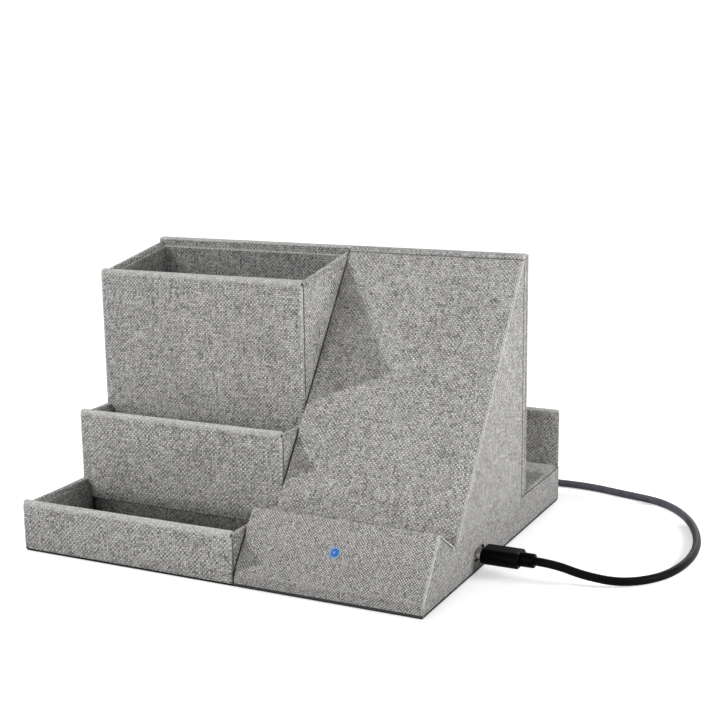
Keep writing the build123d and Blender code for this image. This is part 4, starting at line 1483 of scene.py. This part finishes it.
# %% Lip and shelf
knee_fold, knee_fold_steps = 4 * MM, 8
knee_highlight_at, knee_highlight_half, knee_highlight_share = knee_z + 0.6 * MM, 0.7 * MM, 0.2
light_share = 0.53
light_at = knee + (ridge - knee) * light_share
lip_way = (ridge - knee).normalized()
light_place = Vector(((stand_left + right) / 2, light_at.x, light_at.y))
light_out = Vector((0, -lip_way.y, lip_way.x))
lit_cloth = cloth_finish("stand_cloth_lit", level=0.98, threads=1700.0, two_tone=0.85, fleck=3.8,
                         glow=tuple(light_place))

lip_points = pairs([foot, knee, ridge, valley, shelf_back, shelf_front, inner_knee, inner_foot])
lip_form = outline_board(lip_points, "X", stand_left, stand_end - stand_left)
round_edges(lip_form, at_corner(knee), knee_fold, knee_fold_steps, wear_and_highlight=0)
# A thin pale streak above the knee's bend is a painted highlight
for vert in lip_form.verts:
    if abs(vert.co.z - knee_highlight_at) < knee_highlight_half:
        vert[lip_form.verts.layers.float["fold"]] = knee_highlight_share
round_edges(lip_form, at_corner(ridge))
finish_ends(lip_form, wear_and_highlight=1.0)
wrapped_board("lip_and_shelf_board", lip_form, "X", lip_points, ["front_lip_board", "shelf_board"],
              lit_cloth)

# %% [markdown]
# The backrest is the largest plain face. A dark line of painted shade just under its crest marks the edge of
# the cloth that is turned over the top.

# %% Backrest
crest_seam = 1.9 * MM
rest_points = pairs([shelf_back, crest, Vector((back_front, back_top)), crest_seat, rest_bottom])
rest_form = outline_board(rest_points, "X", stand_left, stand_end - stand_left)
round_edges(rest_form, at_corner(crest))
finish_ends(rest_form, wear_and_highlight=0.9)
# Painted shade along the seam under the crest
dark_line(rest_form, (0, crest.x, back_top - crest_seam), (0, 0, 1))
wrapped_board("backrest_cloth_board", rest_form, "X", rest_points, ["backrest_board"], stand_cloth)

# %% [markdown]
# ## Sides of the stand
# The sides are boards under the lip and the backrest. Both follow the inner line of the profile.

# %% Left side of the stand
inside_line = pairs([inner_foot, inner_knee, shelf_front, rest_bottom, crest_seat])
stand_left_points = inside_line + [(back_front, foot_z)]
side_panel("stand_left_board", "stand_left_panel", stand_left_points, stand_left)

# %% [markdown]
# The right side has the hole for the charging socket, and runs on to the back as the side of the slot.
# Round the hole and along a seam near the back edge it is painted dark as shade. Four cuts give the seam its
# verts.

# %% Right side of the stand
port_y, port_z = front + 53.9 * MM, 7.4 * MM
hole_width, hole_height = 10.6 * MM, 4.8 * MM
port_hole = (port_y, port_z, hole_width, hole_height)
back_seam, seam_width, seam_hidden = 6.0 * MM, 0.7 * MM, 0.65 * MM
port_shade_reach, port_shade, seam_shade = 6 * MM, 0.8, 0.9

stand_right_points = inside_line + [(back_front, slot_under), (rear - board, slot_under)]
stand_right_points += [(rear - board, foot_z)]
right_form = bmesh.new()
flat_sheet(right_form, stand_right_points, right_panel_x)
pierce(right_form, right_panel_x, port_hole)
push_form(right_form, (board, 0, 0))
for share in (-0.2, 0, 1, 1.2):
    slice_form(right_form, (0, back_y - back_seam + share * seam_width, 0), (0, 1, 0))
dark_mark = right_form.verts.layers.float.new("cut")
for vert in right_form.verts:
    # Painted shade round the socket hole and along the back seam
    if (vert.co.yz - Vector((port_y, port_z))).length < port_shade_reach:
        vert[dark_mark] = port_shade
    elif abs(vert.co.y - back_y + back_seam - seam_width / 2) < seam_width / 2 + NEAR:
        vert[dark_mark] = seam_shade
lay_cloth(right_form, "X", stand_right_points)
finish_piece(right_form, "stand_right_board", side_cloth, replaced=["stand_right_panel"],
             smooth=False)

# %% [markdown]
# Its facing follows the outer line of the profile and ends a little before the back edge. The seams along
# the lip and the backrest are frayed and pale with a painted highlight, which a strength below zero stands
# for.

# %% Facing of the stand
closer = -0.9 * MM
right_low = foot_z - FACING_INSET
back_seam_y = back_y - back_seam - seam_hidden + FACING_INSET
foot_line, lip_line = moved_in(foot, knee, closer), moved_in(knee, ridge, closer)
rest_line = moved_in(valley, crest, closer)
back_line = (Vector((back_seam_y, slot_top)), Vector((back_seam_y, back_top)))
near_knee, near_ridge = crossing(foot_line, lip_line), crossing(lip_line, (ridge, valley))
near_valley, near_crest = crossing((ridge, valley), rest_line), crossing(rest_line, back_line)
low_corner = Vector((foot_line[0].x, right_low))
slot_corner = Vector((rear, slot_top))
right_outer = pairs([low_corner, near_knee, near_ridge, near_valley, near_crest, back_line[0], slot_corner])
right_outer += [(rear, right_low)]
# Below zero: pale frayed edges with a painted highlight; above zero: painted shade
right_seams = [((near_knee, near_ridge), -1.0), ((near_valley, near_crest), -0.8),
               ((low_corner, near_knee), 0.0), ((back_line[0], slot_corner), 0.7)]
glued_facing("right_facing_cloth", "right_side_facing", right_outer, right, 1, side_cloth,
             hole=port_hole, seams=right_seams)

# %% [markdown]
# ## Back panel, slot and rear wall
# One tall panel closes the tall cup and the stand. It is wider above the slot's floor than below it, because
# it stands on the side panels there, as the front panels do.

# %% Tall back panel
back_points = lapped_outline(sheet_top, slot_under, back_top, left_panel_x + board, right_panel_x,
                             left_panel_x, stand_end)
back_form = outline_board(back_points, "Y", back_front, board)


def back_upright(middle, way):
    """True for the upright edges at the back of the tall panel."""
    return middle.z > slot_top and abs(way.z) > 0.9 and abs(middle.y - back_y) < NEAR


round_edges(back_form, lambda middle, way: middle.z > back_top - NEAR, wear_and_highlight=0.7)
round_edges(back_form, back_upright, END_FOLD, END_STEPS, wear_and_highlight=0.7)
wrapped_board("tall_back_board", back_form, "X", rectangle(back_front, back_y, back_top), ["back_panel"],
              side_cloth)

# %% [markdown]
# Behind the tall panel lies the slot's floor board, and a low wall closes the slot at the back. Nothing in
# the photograph shows that wall, so it is kept plain, with the same folded cloth as the rest.

# %% Slot floor and rear wall
slot_form = box_board((left_panel_x, back_y, slot_under), (stand_end, rear - board, slot_top))
round_edges(slot_form, lambda middle, way: abs(way.y) > 0.9 and middle.z > slot_top - NEAR)
slot_ring = rectangle(left_panel_x, stand_end, slot_top, slot_under)
wrapped_board("slot_floor_cloth_board", slot_form, "Y", slot_ring, ["slot_floor_board"], side_cloth)


def wall_fold(middle, way):
    """True for the wall's outer edges above its foot, and for all its upper ones."""
    return abs(middle.y - rear) < NEAR and middle.z > foot_z or middle.z > rear_wall_top - NEAR


wall_form = box_board((left_panel_x, rear - board, sheet_top), (stand_end, rear, rear_wall_top))
round_edges(wall_form, wall_fold)
wrapped_board("rear_wall_board", wall_form, "X", rectangle(rear - board, rear, rear_wall_top),
              ["rear_wall_panel"], side_cloth)

# %% [markdown]
# ## Linings
# Each compartment is lined with thin card in the same cloth, whose top edge stops a little below the rim.
# The tray and the note box are lined on three sides, and the tall cup on all four. A low form of the card is
# made first, as a plan. The closed one is a block, inset and opened, with inner walls drawn down its hole.

# %% Plans of the linings
liner = 1.6 * MM
floor_z = 3.2 * MM
plan_height = 1 * MM
plan_middle = floor_z + plan_height / 2
inner_left, inner_right = left_panel_x + board, caddy_panel_x


def closed_card(around):
    """Low form of card on all four sides, with the inside open from top to bottom."""
    form = outline_board(around, "Z", floor_z, plan_height)
    top = [f for f in form.faces if f.normal.z > 0.9]
    bmesh.ops.inset_region(form, faces=top, thickness=liner, use_even_offset=True)
    inside = max((f for f in form.faces if f.normal.z > 0.9), key=lambda f: f.calc_area())
    underside = [f for f in form.faces if f.normal.z < -0.9]
    bmesh.ops.delete(form, geom=[inside], context="FACES_ONLY")
    bmesh.ops.delete(form, geom=underside, context="FACES_ONLY")
    inner = [e for e in form.edges if e.is_boundary and e.verts[0].co.z > plan_middle]
    dropped = bmesh.ops.extrude_edge_only(form, edges=inner)
    for vert in dropped["geom"]:
        if isinstance(vert, bmesh.types.BMVert):
            vert.co.z = floor_z
    bmesh.ops.bridge_loops(form, edges=[e for e in form.edges if e.is_boundary])
    face_outwards(form)
    return form


def open_card(y_low, y_high):
    """Low form of card on three sides, open at the back."""
    low_x, high_x = inner_left + liner, inner_right - liner
    return outline_board([
        (inner_left, y_high), (inner_left, y_low), (inner_right, y_low), (inner_right, y_high),
        (high_x, y_high), (high_x, y_low + liner), (low_x, y_low + liner), (low_x, y_high),
    ], "Z", floor_z, plan_height)


print("lining card", round(liner / MM, 2), "mm")

# %% [markdown]
# Then the upper verts of the plan are lifted to the rim, which slopes on the tall cup.

# %% Linings
liner_drop = 1.6 * MM
liner_fold, liner_steps = 0.6 * MM, 3
liner_pitch, liner_unevenness = 7 * MM, 0.04 * MM


def lining(name, node, y_low, y_high, rim_at, closed):
    """Card round the inside of a compartment, with an open back or closed on all sides."""
    around = [(inner_left, y_low), (inner_right, y_low), (inner_right, y_high), (inner_left, y_high)]
    form = closed_card(around) if closed else open_card(y_low, y_high)
    for vert in form.verts:
        if vert.co.z > plan_middle:
            vert.co.z = rim_at(vert.co.y) - liner_drop

    def top_edge(middle, way):
        """True for an edge along the card's top, except at its back."""
        at_top = abs(middle.z - (rim_at(middle.y) - liner_drop)) < NEAR
        return abs(way.z) < 0.5 and at_top and middle.y < y_high - NEAR

    round_edges(form, top_edge, liner_fold, liner_steps)
    cut_grid(form, liner_pitch)
    make_uneven(form, liner_unevenness)
    lay_cloth(form, "Z", around)
    finish_piece(form, name, lining_cloth, replaced=[node])


lining("tray_lining_card", "tray_liner", front + board, note_y, lambda y: tray_rim, False)
lining("note_lining_card", "note_liner", note_y + board, cup_y, lambda y: note_rim, False)
lining("cup_lining_card", "cup_liner", cup_y + board, back_front, cup_rim_at, True)

# %% [markdown]
# A pad of cloth-covered card lies on each floor. Its size is read from the CAD node that it stands for.

# %% Floor pads
pad_fold, pad_steps = 0.4 * MM, 2
pads = (("tray_pad", "tray_floor_pad"), ("note_pad", "note_floor_pad"), ("cup_pad", "cup_floor_pad"))
for pad_name, node in pads:
    pad_low, pad_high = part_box(node)
    pad_form = box_board(pad_low, pad_high)
    round_edges(pad_form, lambda middle, way: middle.z > pad_high[2] - NEAR, pad_fold, pad_steps)
    ring = rectangle(pad_low[1], pad_high[1], pad_high[2])
    wrapped_board(pad_name, pad_form, "X", ring, [node], lining_cloth, unevenness=0.03 * MM)

# %% [markdown]
# ## Turned and lofted parts
# Round parts are spun from a profile of a few points, which is quicker to change than a stack of cylinders.

# %% Turned forms


def turned_form(profile, place, toward, steps=40):
    """A form spun from (along, radius) points; toward is the direction of its axis."""
    form = bmesh.new()
    verts = [form.verts.new((radius, 0, along)) for along, radius in profile]
    edges = [form.edges.new(pair) for pair in zip(verts, verts[1:])]
    bmesh.ops.spin(form, geom=verts + edges, cent=(0, 0, 0), axis=(0, 0, 1), angle=2 * pi, steps=steps,
                   use_merge=True)
    bmesh.ops.remove_doubles(form, verts=form.verts[:], dist=SAME_PLACE)
    face_outwards(form)
    turned = Vector(toward).to_track_quat("Z", "Y").to_matrix().to_4x4()
    bmesh.ops.transform(form, matrix=Matrix.Translation(place) @ turned, verts=form.verts[:])
    return form


print("turned forms ready")

# %% [markdown]
# Other parts have the same flat oval or rounded section all along. Their sections are loops of edges, and a
# list of stations says how wide and high the section is at each place.

# %% Sections and stations


def join_loop(form, verts):
    """Joins verts by edges into a closed loop."""
    for pair in zip(verts, verts[1:] + verts[:1]):
        form.edges.new(pair)
    return verts


def rounded_loop(form, x, y, z, width, height, corner, steps=6):
    """A closed loop of edges in the shape of a rounded rectangle, across the X axis."""
    verts = []
    for side_y, side_z, first in ((1, 1, 0), (-1, 1, 1), (-1, -1, 2), (1, -1, 3)):
        for step in range(steps + 1):
            angle = pi / 2 * (first + step / steps)
            across = side_y * (width / 2 - corner) + corner * cos(angle)
            up = side_z * (height / 2 - corner) + corner * sin(angle)
            verts.append(form.verts.new((x, y + across, z + up)))
    return join_loop(form, verts)


def rounded_run(low, high, width, height, fold, steps=4):
    """Stations (x, width, height) of a bar whose two ends are rounded by a fold."""
    start, finish = [], []
    for step in range(steps + 1):
        angle = pi / 2 * step / steps
        along, inset = fold * (1 - cos(angle)), fold * (1 - sin(angle))
        start.append((low + along, width - 2 * inset, height - 2 * inset))
        finish.insert(0, (high - along, width - 2 * inset, height - 2 * inset))
    return start + finish


print("sections ready")

# %% [markdown]
# Such a part is lofted: faces bridge neighbouring loops, and the two ends are filled. Where the last loop
# joins the first instead, the part is a hollow shell. A scaled cylinder couldn't have such soft ends.

# %% Lofted forms


def lofted_form(stations, loop_at, ring=False):
    """Faces between the loops that loop_at makes at each station; a ring joins its last loop to its first."""
    form = bmesh.new()
    loops = []
    for station in stations:
        verts = set(loop_at(form, *station))
        loops.append([e for e in form.edges if e.verts[0] in verts and e.verts[1] in verts])
    following = loops[1:] + loops[:1] if ring else loops[1:]
    for first, second in zip(loops, following):
        bmesh.ops.bridge_loops(form, edges=first + second)
    if not ring:
        bmesh.ops.holes_fill(form, edges=loops[0] + loops[-1])
    face_outwards(form)
    return form


print("lofted forms ready")

# %% [markdown]
# ## The light in the lip
# A short clear rod carries the light of a small lamp through the board. Its outer end is a low dome,
# just proud of the cloth, so it is a turned part: a straight side and a quarter of an arc.

# %% Lens of the light
lens_radius, lens_length = 1.3 * MM, 2.0 * MM
lens_dome, dome_start, dome_steps = 0.12 * MM, -0.1 * MM, 5
spot_depth = 0.3 * MM
lens_finish = light_finish("blue_lens", tuple(light_place - Vector((spot_depth, 0, 0))))
lamp_finish = light_finish("blue_lamp", tuple(light_place))

lens_profile = [(-lens_length, 0), (-lens_length, lens_radius), (dome_start, lens_radius)]
for step in range(1, dome_steps + 1):
    angle = pi / 2 * step / dome_steps
    lens_profile.append((lens_dome * sin(angle), lens_radius * cos(angle)))
lens_form = turned_form(lens_profile, light_place, light_out)
finish_piece(lens_form, "light_lens", lens_finish, replaced=["light_guide"])

# %% [markdown]
# ## The small plug
# Its steel shell stands in the socket, and its black grip is a flat oval bar with softly rounded ends.
# A round collar behind the grip keeps the cord from bending sharply. The shell is lofted as a ring, out
# along its outer side, round its lip and back along its inner side, so it is hollow and closed.

# %% Shell of the small plug
grip_x = right + 2.1 * MM
shell_width, shell_height, shell_wall = 8.25 * MM, 2.4 * MM, 0.28 * MM
shell_tip, shell_root = grip_x - 6.65 * MM, grip_x + 2.0 * MM


def oval_at_port(form, x, width, height):
    """Flat oval section in line with the socket."""
    return stadium_loop(form, x, port_y, port_z, width, height)


# Each row of the lip is how far it lies behind the tip, and how far inside the outer side, in millimetres
shell_lip = ((0.5, 0), (0.2, 0.03), (0, 0.12), (0.1, 0.24), (0.5, 0.28))
shell_rows = [(shell_root, 0)] + [(shell_tip + back * MM, inset * MM) for back, inset in shell_lip]
shell_rows += [(shell_root, shell_wall)]
shell_stations = [(x, shell_width - 2 * inset, shell_height - 2 * inset) for x, inset in shell_rows]
shell_form = lofted_form(shell_stations, oval_at_port, ring=True)
finish_piece(shell_form, "plug_shell_steel", plug_steel, "cord_set", ["plug_shell"])

# %% [markdown]
# The grip is lofted from flat ovals that grow to full size over a small fold and shrink again. The collar is
# turned, with one shallow groove where it meets the grip and a rounded rim where the cord comes out.

# %% Grip and collar of the small plug
grip_length, grip_width, grip_height, grip_fold = 15.1 * MM, 11.5 * MM, 6.2 * MM, 0.7 * MM
collar_radius, collar_length, collar_mouth = 2.8 * MM, 5.4 * MM, 0.6 * MM

grip_stations = rounded_run(grip_x, grip_x + grip_length, grip_width, grip_height, grip_fold)
finish_piece(lofted_form(grip_stations, oval_at_port), "plug_grip_oval", grip_plastic,
             "cord_set", ["plug_grip"])

# Each row is how far along the collar it lies, and how far below its surface, in millimetres
collar_rows = ((0.35, 0), (0.45, 0.12), (0.65, 0.12), (0.75, 0), (4.9, 0), (5.2, 0.1), (5.35, 0.3))
collar_profile = [(0, 0), (0, collar_radius)]
collar_profile += [(along * MM, collar_radius - below * MM) for along, below in collar_rows]
collar_profile += [(collar_length, collar_radius - collar_mouth), (collar_length, 0)]
collar_form = turned_form(collar_profile, (grip_x + grip_length, port_y, port_z), (1, 0, 0))
finish_piece(collar_form, "plug_collar", grip_plastic, "cord_set", ["plug_strain_relief"])

# %% [markdown]
# ## The larger plug
# It lies on the desk beside the coil. Its grip is a rounded bar with a shallow dip for the thumb. The dip
# needs verts along the grip, so extra stations are put between the two rounded ends.

# %% Grip of the larger plug
relief_x, far_grip_x = 8.05 * MM, 17.05 * MM
far_grip_length = 21 * MM
far_grip_end = far_grip_x + far_grip_length
far_width, far_height = 15.6 * MM, 7.8 * MM
far_corner, far_fold, far_fold_steps = 2.2 * MM, 0.8 * MM, 4
dip_depth, dip_at, dip_half_length, dip_half_width = 0.35 * MM, 9 * MM, 6 * MM, 5 * MM


def far_grip_loop(form, x, width, height):
    """Section of the grip, with a shallow dip for the thumb in its upper face."""
    shrink = (far_width - width) / 2
    verts = rounded_loop(form, x, tail_y, far_plug_z, width, height, far_corner - shrink)
    reach = (x - far_grip_x - dip_at) / dip_half_length
    for vert in verts:
        aside = (vert.co.y - tail_y) / dip_half_width
        if vert.co.z > far_plug_z and abs(reach) < 1 and abs(aside) < 1:
            vert.co.z -= dip_depth * (1 - reach ** 2) * (1 - aside ** 2)
    return verts


far_stations = rounded_run(far_grip_x, far_grip_end, far_width, far_height, far_fold, far_fold_steps)
middle_stations = [(far_grip_x + n * MM, far_width, far_height) for n in range(2, 20)]
far_stations[far_fold_steps + 1:far_fold_steps + 1] = middle_stations
finish_piece(lofted_form(far_stations, far_grip_loop), "far_grip_block", grip_plastic,
             "cord_set", ["far_plug_grip"])

# %% [markdown]
# The strain relief is a soft cone with six ribs, which grow towards the grip. It is spun, and a loop writes
# four points of the profile for each rib: up, along, and down into the groove.

# %% Strain relief of the larger plug
relief_length = far_grip_x - relief_x
rib_count, rib_start, rib_end_gap = 6, 0.3 * MM, 0.6 * MM
relief_gap, rib_low, rib_growth, rib_depth = 0.1 * MM, 0.15 * MM, 0.85 * MM, 0.25 * MM
relief_foot = 2.7 * MM
rib_pitch = (relief_length - rib_end_gap) / rib_count

relief_profile = [(0, 0), (0, cord_radius + relief_gap)]
for rib in range(rib_count):
    at = rib_start + rib * rib_pitch
    swell = cord_radius + rib_low + rib_growth * rib / (rib_count - 1)
    for share, drop in ((0.0, rib_depth), (0.15, 0.0), (0.60, 0.0), (0.75, rib_depth)):
        relief_profile.append((at + share * rib_pitch, swell - drop))
relief_profile += [(relief_length, relief_foot), (relief_length, 0)]
relief_form = turned_form(relief_profile, (relief_x, tail_y, far_plug_z), (1, 0, 0), steps=32)
finish_piece(relief_form, "far_relief_ribs", grip_plastic, "cord_set", ["far_strain_relief"])

# %% [markdown]
# The shell is a box of folded steel with two latch windows above and two below. It is lofted as a ring like
# the small one, with stations and points where the windows' sides come. Then the faces of the windows are
# deleted outside and inside, and each pair of rims is bridged, which gives the windows clean walls.

# %% Shell of the larger plug
far_shell_width, far_shell_height, far_wall = 12 * MM, 4.5 * MM, 0.3 * MM
far_shell_tip, far_shell_root = far_grip_end + 12 * MM, far_grip_end - 3 * MM
far_shell_lip = 0.1 * MM
bend, bend_soft = 0.5 * MM, 0.15 * MM
window_near, window_far = 1.4 * MM, 3.7 * MM
window_low, window_high = far_grip_end + 4.2 * MM, far_grip_end + 6.6 * MM


def far_shell_loop(form, x, width, height):
    """Section of the shell, with points where the windows' sides come."""
    ys = [-width / 2 + bend, -window_far, -window_near, window_near, window_far, width / 2 - bend]
    corners = [(width / 2 - bend_soft, height / 2 - bend_soft), (width / 2, height / 2 - bend)]
    upper = [(y, height / 2) for y in ys] + corners
    lower = [(-y, -z) for y, z in upper]
    return join_loop(form, [form.verts.new((x, tail_y + y, far_plug_z + z)) for y, z in upper + lower])


def in_window(face):
    """True for a level face of the shell within the bounds of a window."""
    at = face.calc_center_median()
    beside = window_near < abs(at.y - tail_y) < window_far
    return window_low < at.x < window_high and beside and abs(face.normal.z) > 0.9


far_shell_stations = []
for inset in (0, far_wall):
    xs = [far_shell_root, window_low, window_high, far_shell_tip - far_shell_lip]
    row = [(x, far_shell_width - 2 * inset, far_shell_height - 2 * inset) for x in xs]
    far_shell_stations += row if inset == 0 else row[::-1]
far_shell_form = lofted_form(far_shell_stations, far_shell_loop, ring=True)
windows = [face for face in far_shell_form.faces if in_window(face)]
rims = {edge for face in windows for edge in face.edges}
bmesh.ops.delete(far_shell_form, geom=windows, context="FACES_ONLY")
for side_y in (-1, 1):
    for side_z in (-1, 1):
        rim = []
        for edge in rims:
            at = edge.verts[0].co
            if (at.y - tail_y) * side_y > 0 and (at.z - far_plug_z) * side_z > 0:
                rim.append(edge)
        bmesh.ops.bridge_loops(far_shell_form, edges=rim)
face_outwards(far_shell_form)
finish_piece(far_shell_form, "far_shell_steel", plug_steel, "cord_set", ["far_plug_shell"],
             smooth=False)

# %% [markdown]
# The tongue fills the upper half of the shell and carries four gilt contacts underneath. The contacts are
# flat grids, stretched to strips and pushed up to the tongue's face. They have no node of their own in the
# CAD model, so they replace none.

# %% Tongue and contacts of the larger plug
tongue_half, tongue_thickness, tongue_back = 5.5 * MM, 1.8 * MM, 0.3 * MM
tongue_fold, tongue_steps = 0.25 * MM, 3
tongue_high = far_plug_z + far_shell_height / 2 - far_wall
tongue_low = tongue_high - tongue_thickness
tongue_points = rectangle(tail_y - tongue_half, tail_y + tongue_half, tongue_high, tongue_low)
tongue_form = outline_board(tongue_points, "X", far_shell_root, far_shell_tip - far_shell_root - tongue_back)
round_edges(tongue_form, lambda middle, way: middle.x > far_shell_tip - 1 * MM, tongue_fold, tongue_steps,
            wear_and_highlight=0)
finish_piece(tongue_form, "far_tongue_block", moulded_black, "cord_set",
             ["far_plug_tongue"], smooth=False)

contact_width, contact_length, contact_depth = 1 * MM, 7.5 * MM, 0.06 * MM
contact_middle_x = far_shell_tip - 5.2 * MM
contact_form = bmesh.new()
for aside in (-3.5 * MM, -1.0 * MM, 1.0 * MM, 3.5 * MM):
    strip = bmesh.ops.create_grid(contact_form, x_segments=8, y_segments=1, size=contact_width / 2)["verts"]
    bmesh.ops.scale(contact_form, verts=strip, vec=(contact_length / contact_width, 1, 1))
    bmesh.ops.translate(contact_form, verts=strip,
                        vec=(contact_middle_x, tail_y + aside, tongue_low - contact_depth))
push_form(contact_form, (0, 0, contact_depth))
finish_piece(contact_form, "far_contacts", contact_gold, "cord_set", smooth=False)

# %% [markdown]
# ## The strap round the coil
# A strip of black hook-and-pile tape goes once round the left side of the coil and laps over itself on top.
# Its path is a rounded rectangle, followed for a little more than one turn, with a section at each point.
# A curve with a flat bevel would do too, but it twists at tight corners.

# %% Path of the strap
strap_thickness, strap_width = 0.6 * MM, 9 * MM
strap_corner, strap_corner_steps = 1.1 * MM, 6
strap_start, strap_lap, strap_lap_steps = 1 * MM, 7 * MM, 5
strap_gap, strap_slack, strap_lap_gap = 0.15 * MM, 1.8 * MM, 0.05 * MM
lap_from_corner = 0.5 * MM
strap_y = 122 * MM + coil_pitch / 2
coil_left_x = coil_x - coil_radius
coil_turns_width = (inward_half_turns - 1) * coil_pitch / 2
strap_low = Vector((coil_left_x - cord_radius - strap_gap, strap_thickness))
strap_high = Vector((coil_left_x + coil_turns_width + cord_radius + strap_slack,
                     coil_low + coil_pitch + cord_radius + strap_gap))


def strap_path():
    """Points and outward directions along the middle of the strap, with the lap lifted over its start."""
    size = strap_high - strap_low + Vector((strap_thickness, strap_thickness))
    middle = (strap_high + strap_low) / 2
    straight = Vector((size.x / 2 - strap_corner, size.y / 2 - strap_corner))
    corners = []
    for quarter, sides in enumerate(((1, 1), (1, -1), (-1, -1), (-1, 1))):
        for step in range(strap_corner_steps + 1):
            angle = pi / 2 * (1 - quarter - step / strap_corner_steps)
            out = Vector((cos(angle), sin(angle)))
            corners.append((middle + straight * Vector(sides) + out * strap_corner, out))
    up = Vector((0, 1))
    top = middle + up * (size.y / 2)
    lift = up * (strap_thickness + strap_lap_gap)
    lap_x = lap_from_corner - straight.x
    path = [(top - Vector((strap_start, 0)), up)] + corners
    path += [(top + Vector((lap_x, 0)) + lift * 0.5, up)]
    for step in range(1, strap_lap_steps + 1):
        path.append((top + Vector((lap_x + strap_lap * step / strap_lap_steps, 0)) + lift, up))
    return path


print("points along the strap", len(strap_path()))

# %% [markdown]
# The strap is lofted along that path, with four verts in each section, and its two ends are closed.

# %% Strap


def strap_loop(form, point, out):
    """Section of the strap: its width along Y, and its thickness along the outward direction."""
    verts = []
    for side_y, side_out in ((-1, 1), (1, 1), (1, -1), (-1, -1)):
        at = point + out * (side_out * strap_thickness / 2)
        verts.append(form.verts.new((at.x, strap_y + side_y * strap_width / 2, at.y)))
    return join_loop(form, verts)


finish_piece(lofted_form(strap_path(), strap_loop), "coil_strap", strap_pile, "cord_set", ["cord_tie"])

# %% [markdown]
# ## Charging winding and wires
# Inside the stand, a flat winding lies behind the backrest, and its two ends run down to the circuit board.
# Two thin wires do the same for the light. All of them are round wires along smooth lines, like the cord.
# The winding's half turns are half circles about two middles, half a pitch apart, so they join smoothly.

# %% Winding
winding_turns, winding_inner, wire_pitch, wire_radius = 9, 10 * MM, 1.6 * MM, 0.575 * MM
rest_inward = Vector((0, sin(rest_angle), -cos(rest_angle)))
rest_down = Vector((0, -cos(rest_angle), -sin(rest_angle)))
rest_at = rest_inner[0] + rest_way * 66 * MM
rest_middle = Vector(((stand_left + right) / 2, rest_at.x, rest_at.y))


def on_rest(x, down, depth):
    """A point by its place on the backrest's inner face and its depth behind it."""
    return rest_middle + Vector((x, 0, 0)) + rest_down * down + rest_inward * depth


winding_route = []
for step in range(2 * winding_turns * points_per_half_turn + 1):
    half = min(step // points_per_half_turn, 2 * winding_turns - 1)
    angle = pi * step / points_per_half_turn
    radius = winding_inner + half * wire_pitch / 2 + wire_radius
    shift = wire_pitch / 2 * (half % 2)
    winding_route.append(on_rest(shift + radius * cos(angle), radius * sin(angle), wire_radius))
print("points on the winding", len(winding_route))

# %% [markdown]
# The leads leave the lower edge of the winding, turn down behind the backrest and land on the board's top.
# The light's wires start at its lamp and land further forward. Each pair is one piece, made by one loop.

# %% Leads of the winding and wires of the light
board_top = 5.75 * MM
lead_radius, lead_aside, lead_depth = 0.6 * MM, 4 * MM, 0.6 * MM
lead_start_down, lead_turn_down, lead_drop = 23.95 * MM, 36.05 * MM, 8 * MM
lead_landing_y = port_y + 15.4 * MM
lamp_wire_radius, lamp_wire_aside, lamp_wire_step = 0.45 * MM, 2 * MM, 3.6 * MM
lamp_landing_y = port_y - 16.6 * MM

lead_routes, light_routes = [], []
for side in (-1, 1):
    lead_x = side * lead_aside
    turn_at = on_rest(lead_x, lead_turn_down, lead_depth)
    lead_routes.append([
        on_rest(lead_x, lead_start_down, lead_depth), turn_at,
        Vector((turn_at.x, lead_landing_y, turn_at.z - lead_drop)),
        Vector((turn_at.x, lead_landing_y, board_top)),
    ])
    lamp_at = light_place + Vector((side * lamp_wire_aside, 0, 0))
    light_routes.append([
        lamp_at - light_out * lamp_wire_step, lamp_at - light_out * 2 * lamp_wire_step,
        Vector((lamp_at.x, lamp_landing_y, board_top + lamp_wire_step)),
        Vector((lamp_at.x, lamp_landing_y, board_top)),
    ])

for name, routes, radius, finish, slot, node in (
        ("charging_winding", [winding_route], wire_radius, coated_copper, "copper", "charging_coil"),
        ("winding_leads", lead_routes, lead_radius, wire_jacket, "copper", "coil_leads"),
        ("lamp_wires", light_routes, lamp_wire_radius, wire_jacket, "copper", "light_wires")):
    round_curve(name, routes, radius, finish, "organizer", [node])

# %% [markdown]
# ## Finishes of the parts kept from the CAD model
# Base boards, screws and the charger's parts keep their CAD meshes, and each gets one of the finishes above.
# Most of them are hidden.

# %% Finishes on CAD parts
kept_finishes = {
    "caddy_base_board": grey_card, "rear_base_board": grey_card, "base_sheet": black_sheet,
    "charger_base_plate": moulded_black, "corner_blocks": moulded_black, "coil_carrier": moulded_black,
    "base_screws": zinc_screw, "carrier_screws": zinc_screw, "board_screws": zinc_screw,
    "ferrite_sheet": ferrite_grey, "charger_board": board_green, "light_board": board_green,
    "control_chip": chip_resin, "power_inductor": ferrite_grey, "tuning_capacitors": tan_ceramic,
    "socket_shell": plug_steel, "socket_tongue": moulded_black, "status_light": lamp_finish,
}
for node, finish in kept_finishes.items():
    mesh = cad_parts[node].data
    mesh.materials.clear()
    mesh.materials.append(finish)
print("CAD parts with a finish", len(kept_finishes))
